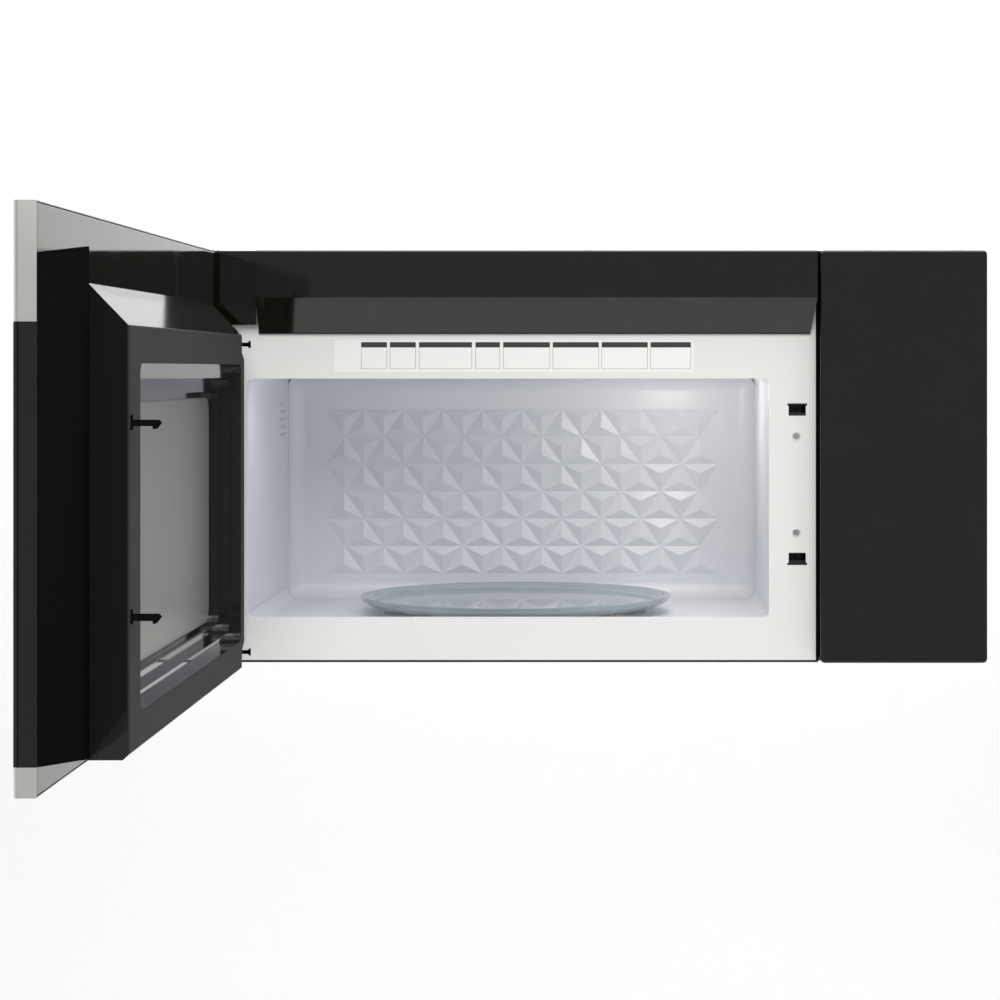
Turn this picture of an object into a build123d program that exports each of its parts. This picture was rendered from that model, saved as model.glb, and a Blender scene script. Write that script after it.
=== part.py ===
"""Over-the-range microwave with a full-width door, modelled with the door open.

Frame: origin at the centre of the back face, which hangs on the wall.
+X is to the right as seen from the cook, +Y into the wall, +Z up. Millimetres.
"""
from build123d import *
import math
import os

os.makedirs("parts", exist_ok=True)

# ------------------------------------------------------------------ cabinet
BODY_WIDTH = 757.0
BODY_HEIGHT = 391.0
BODY_DEPTH = 376.0  # wall face to the front of the face frame
SHEET = 1.0  # cabinet sheet steel
SHEET_BEND = 2.5
FRAME_SHEET = 1.2  # enamelled face frame
SLIP = 0.3  # between pieces that are assembled side by side

HALF_WIDTH = BODY_WIDTH / 2
TOP = BODY_HEIGHT / 2
BOTTOM = -TOP
FRONT = -BODY_DEPTH
FRAME_BACK = FRONT + FRAME_SHEET

# ------------------------------------------------------------------ oven opening and cavity
OPENING_LEFT = -HALF_WIDTH + 54.1
OPENING_RIGHT = HALF_WIDTH - 204.7  # leaves the width of the machine compartment
OPENING_TOP = TOP - 121.8
OPENING_BOTTOM = BOTTOM + 41.2
OPENING_RADIUS = 6.0
OPENING_COLLAR = 8.0  # depth of the flange that turns back into the cavity
CAVITY_SHEET = 0.8
CAVITY_MARGIN = 2.0  # cavity walls stand outside the collar
CAVITY_BACK_GAP = 30.0  # air space between the cavity's back wall and the wall face
CAVITY_DROP = 10.7  # floor below the lip of the opening
CAVITY_CORNER = 17.0  # rounding between the back wall and its neighbours
WALL_BEND = 9.0
FLOOR_BEND = 12.0
FLOOR_UPTURN = 14.0

CAVITY_LEFT = OPENING_LEFT - CAVITY_MARGIN
CAVITY_RIGHT = OPENING_RIGHT + CAVITY_MARGIN
CAVITY_TOP = OPENING_TOP + CAVITY_MARGIN
CAVITY_FLOOR = OPENING_BOTTOM - CAVITY_DROP
CAVITY_MID_X = (CAVITY_LEFT + CAVITY_RIGHT) / 2
CAVITY_MID_Z = (CAVITY_TOP + CAVITY_FLOOR) / 2
BACK_WALL = -CAVITY_BACK_GAP - CAVITY_SHEET  # inner face of the back wall
BACK_PAN_FRONT = BACK_WALL - CAVITY_CORNER - 1.0

# Embossed back wall: three-sided pyramids on a triangular net.
EMBOSS_PITCH = 42.8
EMBOSS_ROW = 29.7
EMBOSS_MARGIN_X = 35.0
EMBOSS_MARGIN_Z = 30.0
EMBOSS_COLUMNS = int((CAVITY_RIGHT - CAVITY_LEFT - 2 * EMBOSS_MARGIN_X) / EMBOSS_PITCH)
EMBOSS_ROWS = int((CAVITY_TOP - CAVITY_FLOOR - 2 * EMBOSS_MARGIN_Z) / EMBOSS_ROW)
EMBOSS_HEIGHT = 3.4
EMBOSS_GAP = 0.5  # flat left between two pyramids
EMBOSS_DROP = 5.0  # the field's centre below the middle of the wall

# ------------------------------------------------------------------ turntable
TRAY_RADIUS = (BODY_DEPTH - CAVITY_BACK_GAP - 30.0) / 2
TRAY_THICK = 4.5
TRAY_RIM = 10.5  # height of the rim over the tray's underside
TRAY_CENTRE_Y = -CAVITY_BACK_GAP - 12.0 - TRAY_RADIUS
RECESS_RADIUS = TRAY_RADIUS - 24.0
RECESS_DEPTH = 6.5
RECESS_SLOPE = 8.0
ROLLER_RADIUS = 7.0
ROLLER_WIDTH = 7.0
ROLLER_CIRCLE = TRAY_RADIUS - 46.0
ROLLER_PLAY = 0.15  # under and over each roller
AXLE_RADIUS = 1.6
RUNNING_PLAY = 0.05
RING_WIDTH = 8.0
RING_THICK = 3.0
COUPLER_RADIUS = 14.0
SHAFT_RADIUS = 3.5

TRAY_CENTRE_X = CAVITY_MID_X
RECESS_FLOOR = CAVITY_FLOOR - RECESS_DEPTH
ROLLER_Z = RECESS_FLOOR + ROLLER_PLAY + ROLLER_RADIUS
TRAY_BOTTOM = ROLLER_Z + ROLLER_RADIUS + ROLLER_PLAY

# ------------------------------------------------------------------ door
PIVOT_X = -HALF_WIDTH + 16.7
PIVOT_Y = FRONT - 42.0
PIVOT_DEPTH = 5.6  # hinge axis behind the door's outer face
DOOR_THICK = 16.0
DOOR_FREE = HALF_WIDTH - PIVOT_X  # hinge axis to the free end
DOOR_BACK = 16.2  # hinge axis to the hinge end
DOOR_TOP = TOP - 1.0
DOOR_BOTTOM = BOTTOM - 5.5
BAND_TOP_HEIGHT = 80.5  # stainless band over the glass
BAND_BOTTOM_HEIGHT = 20.5
BAND_SHEET = 0.8
GLASS_THICK = 3.2
HINGE_STILE = 8.0  # moulded stile between the hinge axis and the glass
DOOR_WALL = 2.5
DOOR_CORNER = 4.0  # rounding of the outer corner at the free end

DOOR_X = PIVOT_X - PIVOT_DEPTH  # outer face of the open door
GLASS_TOP = DOOR_TOP - BAND_TOP_HEIGHT
GLASS_BOTTOM = DOOR_BOTTOM + BAND_BOTTOM_HEIGHT

# Choke box: the raised frame on the door's inner face that closes on the face frame.
CHOKE_RISE = 29.8
CHOKE_WALL = 2.2
CHOKE_HINGE = -7.0  # along the door from the hinge axis
CHOKE_FREE = OPENING_RIGHT - PIVOT_X + 36.1
CHOKE_TOP = OPENING_TOP + 40.2
CHOKE_TOP_BASE = CHOKE_TOP + 31.0  # foot of the slanted top
CHOKE_BOTTOM = OPENING_BOTTOM - 41.7
RECESS_HINGE = 14.0
RECESS_FREE = CHOKE_FREE - 43.7
RECESS_TOP = CHOKE_TOP - 26.9
RECESS_BOTTOM = CHOKE_BOTTOM + 25.0
RECESS_CORNER = 9.0
WINDOW_HINGE = 48.0
WINDOW_FREE = RECESS_FREE - 28.0
WINDOW_TOP = RECESS_TOP - 37.0
WINDOW_BOTTOM = RECESS_BOTTOM + 28.0
WINDOW_CORNER = 10.0
WINDOW_LEDGE = 4.0  # door's inner face to the visible face of the inner window
INNER_GLASS = 2.8
SCREEN_SHEET = 0.6

CHOKE_DEPTH = DOOR_THICK + CHOKE_RISE
WINDOW_DEPTH = DOOR_THICK + WINDOW_LEDGE

# ------------------------------------------------------------------ hinges
HINGE_PLATE = 2.8
HINGE_UPPER_Z = CHOKE_TOP - 7.8
HINGE_LOWER_Z = CHOKE_BOTTOM + 8.8
HINGE_PIN_RADIUS = 2.5
HINGE_PIN_LENGTH = 12.0
BUSH_WALL = 1.4
BUSH_LENGTH = 10.0
HINGE_SKIN = 1.0  # door skin left outside the hinge plate
HINGE_EYE = 4.4  # radius of the plate's rounded end
HINGE_SLOT_RIGHT = -HALF_WIDTH + 58.0
HINGE_FLANGE = 24.0
HINGE_PLAY = 0.4
BUSH_RADIUS = HINGE_PIN_RADIUS + RUNNING_PLAY + BUSH_WALL

# ------------------------------------------------------------------ latch
LATCH_X = OPENING_RIGHT + 26.9
LATCH_Z = (OPENING_TOP - 30.2, OPENING_BOTTOM + 56.5)
LATCH_SLOT_WIDTH = 16.4
LATCH_SLOT_HEIGHT = 10.6
HOOK_REACH = 21.3
HOOK_WIDTH = 9.0
HOOK_HEIGHT = 4.6
HOOK_BARB = 2.0
HOOK_TRAVEL = 2.6
LATCH_PLATE = 3.0
SWITCH_TRAVEL = 2.0
LATCH_U = LATCH_X - PIVOT_X
LEVER_DEPTH = 30.0  # middle of the lever behind the door's outer face
LEVER_TOP = LATCH_Z[0] + 9.5
PEG_Z = (LATCH_Z[0] - 48.5, LATCH_Z[1] + 37.8)
PEG_RADIUS = 2.0
SPRING_LENGTH = 20.0
SPRING_RADIUS = 3.6
SPRING_WIRE = 0.5
SPRING_TURNS = 6
SPRING_SEAT = LEVER_TOP + SPRING_LENGTH
FRAME_SCREW_X = LATCH_X - 1.1
FRAME_SCREW_Z = (LATCH_Z[0] - 24.1, LATCH_Z[1] + 24.9)
SCREW_RADIUS = 2.0

# ------------------------------------------------------------------ front dress
PANEL_LEFT = HALF_WIDTH - 157.5
PANEL_PROUD = 27.1
PANEL_WALL = 2.5
FRAME_RIGHT = PANEL_LEFT - 2.6
TRIM_LEFT = -HALF_WIDTH + 66.0
TRIM_PROUD = 26.0
TRIM_CREASE = TOP - 45.2
TRIM_LIP = OPENING_TOP + 42.5
TRIM_LIP_PROUD = 2.4
TRIM_WALL = 2.2
TRIM_RIGHT_LIP = FRAME_RIGHT - 5.4
COVER_PROUD = 9.0
COVER_PAD = 2.0
COVER_LEFT = -HALF_WIDTH + 30.2
COVER_RIGHT = -HALF_WIDTH + 56.4
COVER_FOOT = TRIM_LIP + 8.4
COVER_PAD_FOOT = COVER_FOOT + 2.8
COVER_PAD_TOP = TOP - 7.3
COVER_GAP = 1.6  # dark joint beside the top trim

# ------------------------------------------------------------------ underside and top
FILTER_LENGTH = HALF_WIDTH - 128.5  # leaves the middle to the turntable motor
FILTER_WIDTH = 130.0
FILTER_THICK = 8.0
FILTER_LIP = 8.0  # overlap of the filter on the base plate, and its sliding travel
FILTER_X = HALF_WIDTH - 19.5 - FILTER_LENGTH / 2
FILTER_Y = FRONT / 2 - 22.0
LENS_LENGTH = 96.0
LENS_WIDTH = 46.0
LENS_X = HALF_WIDTH - 128.5
LENS_Y = FRONT + 44.0
DUCT_WIDTH = 254.0
DUCT_DEPTH = 82.6
DUCT_Y = -78.0
CABINET_BOLT_SPACING = BODY_WIDTH - 197.0
CABINET_BOLT_Y = FRONT + 76.0
CABINET_BOLT_RADIUS = 4.0
WALL_SLOT_SPACING = 400.0
WALL_SLOT_Z = BOTTOM + 25.5
WALL_SLOT_LENGTH = 40.0
WALL_SLOT_RADIUS = 4.0
CORD_X = HALF_WIDTH - 48.5
CORD_Y = -60.0
CORD_HOLE = 11.0

# ------------------------------------------------------------------ machinery
BLOWER_AXIS_Y = -120.0
BLOWER_AXIS_Z = TOP - 63.5
WHEEL_RADIUS = 40.0
WHEEL_LENGTH = 84.0
WHEEL_BLADES = 20
WHEEL_X = 98.0  # centre of each blower wheel from the middle of the cabinet
SCROLL_WALL = 1.5
SCROLL_GAP = 6.0
BLOWER_MOTOR_RADIUS = 34.0
BLOWER_MOTOR_LENGTH = 92.0
FAN_RADIUS = 46.0
FAN_X = HALF_WIDTH - 96.5
FAN_Y = -46.0
FAN_Z = OPENING_TOP - 33.7
FAN_DEPTH = 16.0


def span(x0, x1, y0, y1, radius=0.0, mode=Mode.ADD):
    """Rectangle between two corners, rounded if a radius is given."""
    with Locations(((x0 + x1) / 2, (y0 + y1) / 2)):
        if radius > 0:
            RectangleRounded(x1 - x0, y1 - y0, radius, mode=mode)
        else:
            Rectangle(x1 - x0, y1 - y0, mode=mode)


def front_plane(y):
    """Plane facing the cook at depth y: x to the right, y up, normal towards the cook."""
    return Plane(origin=(0, y, 0), x_dir=(1, 0, 0), z_dir=(0, -1, 0))


def side_plane(x):
    """Plane across the cabinet at x: x runs to the wall, y up, normal to the right."""
    return Plane(origin=(x, 0, 0), x_dir=(0, 1, 0), z_dir=(1, 0, 0))


def door_face(depth):
    """Plane in the open door, depth behind its outer face: x from hinge to free end, y up.
    The normal points out of the door's outer face."""
    return Plane(origin=(DOOR_X + depth, PIVOT_Y, 0), x_dir=(0, -1, 0), z_dir=(-1, 0, 0))


def door_level(height):
    """Level plane in the open door: x from hinge to free end, y from outer to inner face."""
    return Plane(origin=(DOOR_X, PIVOT_Y, height), x_dir=(0, -1, 0), z_dir=(0, 0, 1))


def door_end(along):
    """Plane across the open door: x from outer to inner face, y up, normal to the free end."""
    return Plane(origin=(DOOR_X, PIVOT_Y - along, 0), x_dir=(1, 0, 0), z_dir=(0, -1, 0))


def save(builder, name):
    """Label a finished piece and write it as parts/NAME.step."""
    builder.part.label = name
    export_step(builder.part, f"parts/{name}.step")


# =================================================================== cabinet shell
# Outer wrap: one sheet folded over the top and down both sides.
WRAP_REAR = -SHEET - SLIP
WRAP_LENGTH = BODY_DEPTH - SHEET - FRAME_SHEET - 2 * SLIP
with BuildPart() as outer_wrap:
    with BuildSketch(front_plane(WRAP_REAR)):
        with BuildLine():
            FilletPolyline(
                (-HALF_WIDTH, BOTTOM),
                (-HALF_WIDTH, TOP),
                (HALF_WIDTH, TOP),
                (HALF_WIDTH, BOTTOM),
                radius=SHEET_BEND,
            )
            offset(amount=SHEET, side=Side.RIGHT)
        make_face()
    extrude(amount=WRAP_LENGTH)
    with BuildSketch(Plane.XY.offset(TOP)):
        with Locations((0, DUCT_Y)):
            Rectangle(DUCT_WIDTH, DUCT_DEPTH)
        with Locations((0, CABINET_BOLT_Y)):
            with GridLocations(CABINET_BOLT_SPACING, 0, 2, 1):
                Circle(CABINET_BOLT_RADIUS)
        with Locations((CORD_X, CORD_Y)):
            Circle(CORD_HOLE)
    extrude(amount=-2 * SHEET, mode=Mode.SUBTRACT)
    # Cooling louvres high on the left side.
    with BuildSketch(side_plane(-HALF_WIDTH)):
        with Locations((-190, 40)):
            with GridLocations(0, 9, 1, 12):
                SlotOverall(70, 3.2)
    extrude(amount=2 * SHEET, mode=Mode.SUBTRACT)
save(outer_wrap, "outer_wrap")

# Rear plate: closes the back, with the hanging slots and a pressed stiffening field.
with BuildPart() as rear_plate:
    with BuildSketch(front_plane(0)):
        Rectangle(BODY_WIDTH, BODY_HEIGHT)
        with Locations((0, WALL_SLOT_Z)):
            with GridLocations(WALL_SLOT_SPACING, 0, 2, 1):
                SlotOverall(WALL_SLOT_LENGTH, 2 * WALL_SLOT_RADIUS, mode=Mode.SUBTRACT)
    extrude(amount=SHEET)
    with BuildSketch(front_plane(0)):
        with GridLocations(250, 0, 2, 1):
            Rectangle(150, 210)
            Rectangle(138, 198, mode=Mode.SUBTRACT)
    extrude(amount=0.5 * SHEET, mode=Mode.SUBTRACT)
save(rear_plate, "rear_plate")

# Base plate: tray under the oven, open over the grease filters and the cooktop lamps.
BASE_LEFT = -HALF_WIDTH + SHEET + SLIP
BASE_TOP = BOTTOM + SHEET
BASE_FLANGE = 14.0
OPEN_LENGTH = FILTER_LENGTH - 2 * FILTER_LIP
OPEN_WIDTH = FILTER_WIDTH - 2 * FILTER_LIP
RAIL_HEIGHT = FILTER_THICK + 2 * SHEET + SLIP
with BuildPart() as base_plate:
    with BuildSketch(front_plane(WRAP_REAR)):
        with BuildLine():
            FilletPolyline(
                (BASE_LEFT, BOTTOM + BASE_FLANGE),
                (BASE_LEFT, BOTTOM),
                (-BASE_LEFT, BOTTOM),
                (-BASE_LEFT, BOTTOM + BASE_FLANGE),
                radius=SHEET_BEND,
            )
            offset(amount=SHEET, side=Side.LEFT)
        make_face()
    extrude(amount=WRAP_LENGTH)
    with BuildSketch(Plane.XY.offset(BOTTOM)):
        with Locations((0, FILTER_Y)):
            with GridLocations(2 * FILTER_X, 0, 2, 1):
                RectangleRounded(OPEN_LENGTH, OPEN_WIDTH, 5)
        with Locations((0, LENS_Y)):
            with GridLocations(2 * LENS_X, 0, 2, 1):
                RectangleRounded(LENS_LENGTH - 10, LENS_WIDTH - 10, 4)
    extrude(amount=2 * SHEET, mode=Mode.SUBTRACT)
    # Rails over the ends of both filters.
    for side in (-1, 1):
        for end in (-1, 1):
            rail_x = side * FILTER_X + end * (FILTER_LENGTH / 2 + SLIP)
            with BuildSketch(front_plane(FILTER_Y + FILTER_WIDTH / 2 + FILTER_LIP)):
                with BuildLine():
                    Polyline(
                        (rail_x - end * 8, BASE_TOP + RAIL_HEIGHT),
                        (rail_x + end * SHEET, BASE_TOP + RAIL_HEIGHT),
                        (rail_x + end * SHEET, BASE_TOP),
                        (rail_x, BASE_TOP),
                        (rail_x, BASE_TOP + RAIL_HEIGHT - SHEET),
                        (rail_x - end * 8, BASE_TOP + RAIL_HEIGHT - SHEET),
                        close=True,
                    )
                make_face()
            extrude(amount=FILTER_WIDTH + FILTER_LIP)
save(base_plate, "base_plate")

# Face frame: enamelled plate around the oven opening, with a collar turned back into it.
FRAME_LEFT = -HALF_WIDTH
FRAME_BOTTOM = BOTTOM + 0.7
FRAME_TOP = TOP - SHEET - SLIP
VENT_SLOT_Z = TOP - 35.5
VENT_PITCH = 26.0
VENT_COUNT = int((PANEL_LEFT - TRIM_LEFT - 60.0) / VENT_PITCH)
with BuildPart() as face_frame:
    with BuildSketch(front_plane(FRAME_BACK)):
        span(FRAME_LEFT, FRAME_RIGHT, FRAME_BOTTOM, FRAME_TOP)
        span(OPENING_LEFT, OPENING_RIGHT, OPENING_BOTTOM, OPENING_TOP, OPENING_RADIUS, Mode.SUBTRACT)
        # Latch slots, with a small notch at each outer corner.
        for z, notch in zip(LATCH_Z, (1, -1)):
            with Locations((LATCH_X, z)):
                Rectangle(LATCH_SLOT_WIDTH, LATCH_SLOT_HEIGHT, mode=Mode.SUBTRACT)
            with Locations((LATCH_X, z + notch * LATCH_SLOT_HEIGHT / 2)):
                Rectangle(LATCH_SLOT_WIDTH + 2.4, 2.4, mode=Mode.SUBTRACT)
        for z in FRAME_SCREW_Z:
            with Locations((FRAME_SCREW_X, z)):
                Circle(SCREW_RADIUS + 0.2, mode=Mode.SUBTRACT)
        # Slits that the hinge plates pass through, each with a wider end.
        for z in (HINGE_UPPER_Z, HINGE_LOWER_Z):
            span(FRAME_LEFT + 2, HINGE_SLOT_RIGHT, z - 1.9, z + 1.9, 0, Mode.SUBTRACT)
            span(HINGE_SLOT_RIGHT - 2.4, HINGE_SLOT_RIGHT, z - 3.4, z + 3.4, 0, Mode.SUBTRACT)
        # Air slots hidden by the top trim.
        with Locations((TRIM_LEFT / 2 + PANEL_LEFT / 2, VENT_SLOT_Z)):
            with GridLocations(VENT_PITCH, 0, VENT_COUNT, 1):
                SlotOverall(44, 8, rotation=90, mode=Mode.SUBTRACT)
    extrude(amount=FRAME_SHEET)
    with BuildSketch(front_plane(FRAME_BACK + OPENING_COLLAR)):
        span(
            OPENING_LEFT - FRAME_SHEET,
            OPENING_RIGHT + FRAME_SHEET,
            OPENING_BOTTOM - FRAME_SHEET,
            OPENING_TOP + FRAME_SHEET,
            OPENING_RADIUS + FRAME_SHEET,
        )
        span(OPENING_LEFT, OPENING_RIGHT, OPENING_BOTTOM, OPENING_TOP, OPENING_RADIUS, Mode.SUBTRACT)
    extrude(amount=OPENING_COLLAR + FRAME_SHEET)
save(face_frame, "face_frame")

# =================================================================== oven cavity
# Wrap: left wall, ceiling and right wall from one sheet.
WALL_FOOT = CAVITY_FLOOR + FLOOR_UPTURN + SLIP
CAVITY_WRAP_FRONT = FRAME_BACK + 0.2
CAVITY_WRAP_LENGTH = BACK_PAN_FRONT - SLIP - CAVITY_WRAP_FRONT
PORT_X = OPENING_RIGHT - 103.8
PORT_Y = BLOWER_AXIS_Y - 140.0
PORT_LENGTH = 84.0
PORT_WIDTH = 64.0
LAMP_X = OPENING_RIGHT - 87.8
LAMP_Y = PORT_Y + 67.0
PERFORATION_PITCH = 8.0
PERFORATION_RADIUS = 2.2
with BuildPart() as cavity_wrap:
    with BuildSketch(front_plane(BACK_PAN_FRONT - SLIP)):
        with BuildLine():
            FilletPolyline(
                (CAVITY_LEFT, WALL_FOOT),
                (CAVITY_LEFT, CAVITY_TOP),
                (CAVITY_RIGHT, CAVITY_TOP),
                (CAVITY_RIGHT, WALL_FOOT),
                radius=WALL_BEND,
            )
            offset(amount=CAVITY_SHEET, side=Side.LEFT)
        make_face()
    extrude(amount=CAVITY_WRAP_LENGTH)
    with BuildSketch(Plane.XY.offset(CAVITY_TOP)):
        with Locations((PORT_X, PORT_Y)):
            RectangleRounded(PORT_LENGTH, PORT_WIDTH, 6)
        with Locations((LAMP_X, LAMP_Y)):
            with GridLocations(PERFORATION_PITCH, PERFORATION_PITCH, 5, 4):
                Circle(PERFORATION_RADIUS)
    extrude(amount=3 * CAVITY_SHEET, both=True, mode=Mode.SUBTRACT)
    # Steam outlet: a perforated patch on the left wall.
    with BuildSketch(side_plane(CAVITY_LEFT)):
        with Locations((-96, 30)):
            with GridLocations(PERFORATION_PITCH, PERFORATION_PITCH, 6, 5):
                Circle(PERFORATION_RADIUS)
    extrude(amount=3 * CAVITY_SHEET, both=True, mode=Mode.SUBTRACT)
save(cavity_wrap, "cavity_wrap")

# Floor: pressed tray with a round well for the roller ring.
with BuildPart() as cavity_floor:
    with BuildSketch(front_plane(BACK_PAN_FRONT - SLIP)):
        with BuildLine():
            FilletPolyline(
                (CAVITY_LEFT, CAVITY_FLOOR + FLOOR_UPTURN),
                (CAVITY_LEFT, CAVITY_FLOOR),
                (CAVITY_RIGHT, CAVITY_FLOOR),
                (CAVITY_RIGHT, CAVITY_FLOOR + FLOOR_UPTURN),
                radius=FLOOR_BEND,
            )
            offset(amount=CAVITY_SHEET, side=Side.RIGHT)
        make_face()
    extrude(amount=CAVITY_WRAP_LENGTH)
    with BuildSketch(Plane.XY.offset(CAVITY_FLOOR)):
        with Locations((TRAY_CENTRE_X, TRAY_CENTRE_Y)):
            Circle(RECESS_RADIUS)
    extrude(amount=3 * CAVITY_SHEET, both=True, mode=Mode.SUBTRACT)
    with BuildSketch(Plane(origin=(TRAY_CENTRE_X, TRAY_CENTRE_Y, 0), x_dir=(1, 0, 0), z_dir=(0, -1, 0))):
        with BuildLine():
            Polyline(
                (SHAFT_RADIUS + 1.5, RECESS_FLOOR),
                (RECESS_RADIUS - RECESS_SLOPE, RECESS_FLOOR),
                (RECESS_RADIUS, CAVITY_FLOOR),
                (RECESS_RADIUS + 1, CAVITY_FLOOR),
                (RECESS_RADIUS + 1, CAVITY_FLOOR - CAVITY_SHEET),
                (RECESS_RADIUS + 0.5, CAVITY_FLOOR - CAVITY_SHEET),
                (RECESS_RADIUS - RECESS_SLOPE + 0.5, RECESS_FLOOR - CAVITY_SHEET),
                (SHAFT_RADIUS + 1.5, RECESS_FLOOR - CAVITY_SHEET),
                close=True,
            )
        make_face()
    revolve(axis=Axis((TRAY_CENTRE_X, TRAY_CENTRE_Y, 0), (0, 0, 1)))
save(cavity_floor, "cavity_floor")

# Back wall: a pan with rounded edges, embossed with three-sided pyramids that alternate
# point up and point down and throw the light about the oven.
PAN_DEPTH = BACK_WALL + CAVITY_SHEET - BACK_PAN_FRONT
APEX_SHRINK = 0.06  # the flat left on each point, as a share of its triangle
EMBOSS_MID_Z = CAVITY_MID_Z - EMBOSS_DROP


def emboss_triangle(scale, turn):
    """Corners of one triangle of the net about its own middle; turn is 1 for point up, -1 for down."""
    half = (EMBOSS_PITCH / 2 - EMBOSS_GAP) * scale
    rise = (EMBOSS_ROW - EMBOSS_GAP) * scale
    return [(-half, -turn * rise / 3), (half, -turn * rise / 3), (0, turn * rise * 2 / 3)]


def emboss_places(turn):
    """Middles of the triangles that point one way: rows alternate by half a pitch."""
    places = []
    for row in range(EMBOSS_ROWS):
        wide = (row % 2 == 0) == (turn > 0)
        count = EMBOSS_COLUMNS if wide else EMBOSS_COLUMNS - 1
        z = EMBOSS_MID_Z + (row - (EMBOSS_ROWS - 1) / 2) * EMBOSS_ROW - turn * EMBOSS_ROW / 6
        for column in range(count):
            x = CAVITY_MID_X + (column - (count - 1) / 2) * EMBOSS_PITCH
            places.append((x, 0, z))
    return places


pyramids = {}
for turn in (1, -1):
    with BuildPart() as pyramid:
        for y, scale in ((BACK_WALL, 1.0), (BACK_WALL - EMBOSS_HEIGHT, APEX_SHRINK)):
            with BuildSketch(front_plane(y)):
                Polygon(*emboss_triangle(scale, turn), align=None)
        loft(ruled=True)
    pyramids[turn] = pyramid.part

with BuildPart() as cavity_back:
    with BuildSketch(front_plane(BACK_WALL + CAVITY_SHEET)):
        span(CAVITY_LEFT, CAVITY_RIGHT, CAVITY_FLOOR, CAVITY_TOP)
    extrude(amount=PAN_DEPTH)
    fillet(cavity_back.edges().filter_by(Axis.Y), FLOOR_BEND)
    fillet(cavity_back.faces().sort_by(Axis.Y)[-1].edges(), CAVITY_CORNER)
    offset(amount=-CAVITY_SHEET, openings=cavity_back.faces().sort_by(Axis.Y)[0], kind=Kind.INTERSECTION)
    for turn in (1, -1):
        with Locations(*emboss_places(turn)):
            add(pyramids[turn])
save(cavity_back, "cavity_back")

# =================================================================== microwave source
GUIDE_BOTTOM = CAVITY_TOP + CAVITY_SHEET
GUIDE_HEIGHT = 40.0
GUIDE_WALL = 1.0
MAGNETRON_X = HALF_WIDTH - 152.5
GUIDE_LEFT = PORT_X - PORT_LENGTH / 2 - 8.0
GUIDE_RIGHT = MAGNETRON_X + 42.0
GUIDE_WIDTH = PORT_WIDTH + 2 * 8.0
ANTENNA_RADIUS = 7.5
ANTENNA_RISE = 20.0
GUIDE_SLANT = 34.0  # run of the slanted end
GUIDE_TOE = 10.0  # height left at its foot

# Mica cover over the mouth of the waveguide, under the cavity's ceiling.
with BuildPart() as waveguide_cover:
    with BuildSketch(Plane.XY.offset(CAVITY_TOP)):
        with Locations((PORT_X, PORT_Y)):
            RectangleRounded(PORT_LENGTH + 20, PORT_WIDTH + 20, 8)
    extrude(amount=-CAVITY_SHEET)
save(waveguide_cover, "waveguide_cover")

# Waveguide: folded duct with a slanted end that turns the waves down into the oven.
with BuildPart() as waveguide:
    for inset, mode in ((0.0, Mode.ADD), (GUIDE_WALL, Mode.SUBTRACT)):
        with BuildSketch(front_plane(PORT_Y + GUIDE_WIDTH / 2 - inset)):
            with BuildLine():
                Polyline(
                    (GUIDE_LEFT + inset, GUIDE_BOTTOM + inset),
                    (GUIDE_RIGHT - inset, GUIDE_BOTTOM + inset),
                    (GUIDE_RIGHT - inset, GUIDE_BOTTOM + GUIDE_HEIGHT - inset),
                    (GUIDE_LEFT + GUIDE_SLANT + inset, GUIDE_BOTTOM + GUIDE_HEIGHT - inset),
                    (GUIDE_LEFT + inset, GUIDE_BOTTOM + GUIDE_TOE - inset),
                    close=True,
                )
            make_face()
        extrude(amount=GUIDE_WIDTH - 2 * inset, mode=mode)
    with BuildSketch(Plane.XY.offset(GUIDE_BOTTOM)):
        with Locations((PORT_X, PORT_Y)):
            RectangleRounded(PORT_LENGTH, PORT_WIDTH, 6)
        with Locations((MAGNETRON_X, PORT_Y)):
            Circle(ANTENNA_RADIUS + 3)
    extrude(amount=2 * GUIDE_WALL, mode=Mode.SUBTRACT)
save(waveguide, "waveguide")

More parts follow.
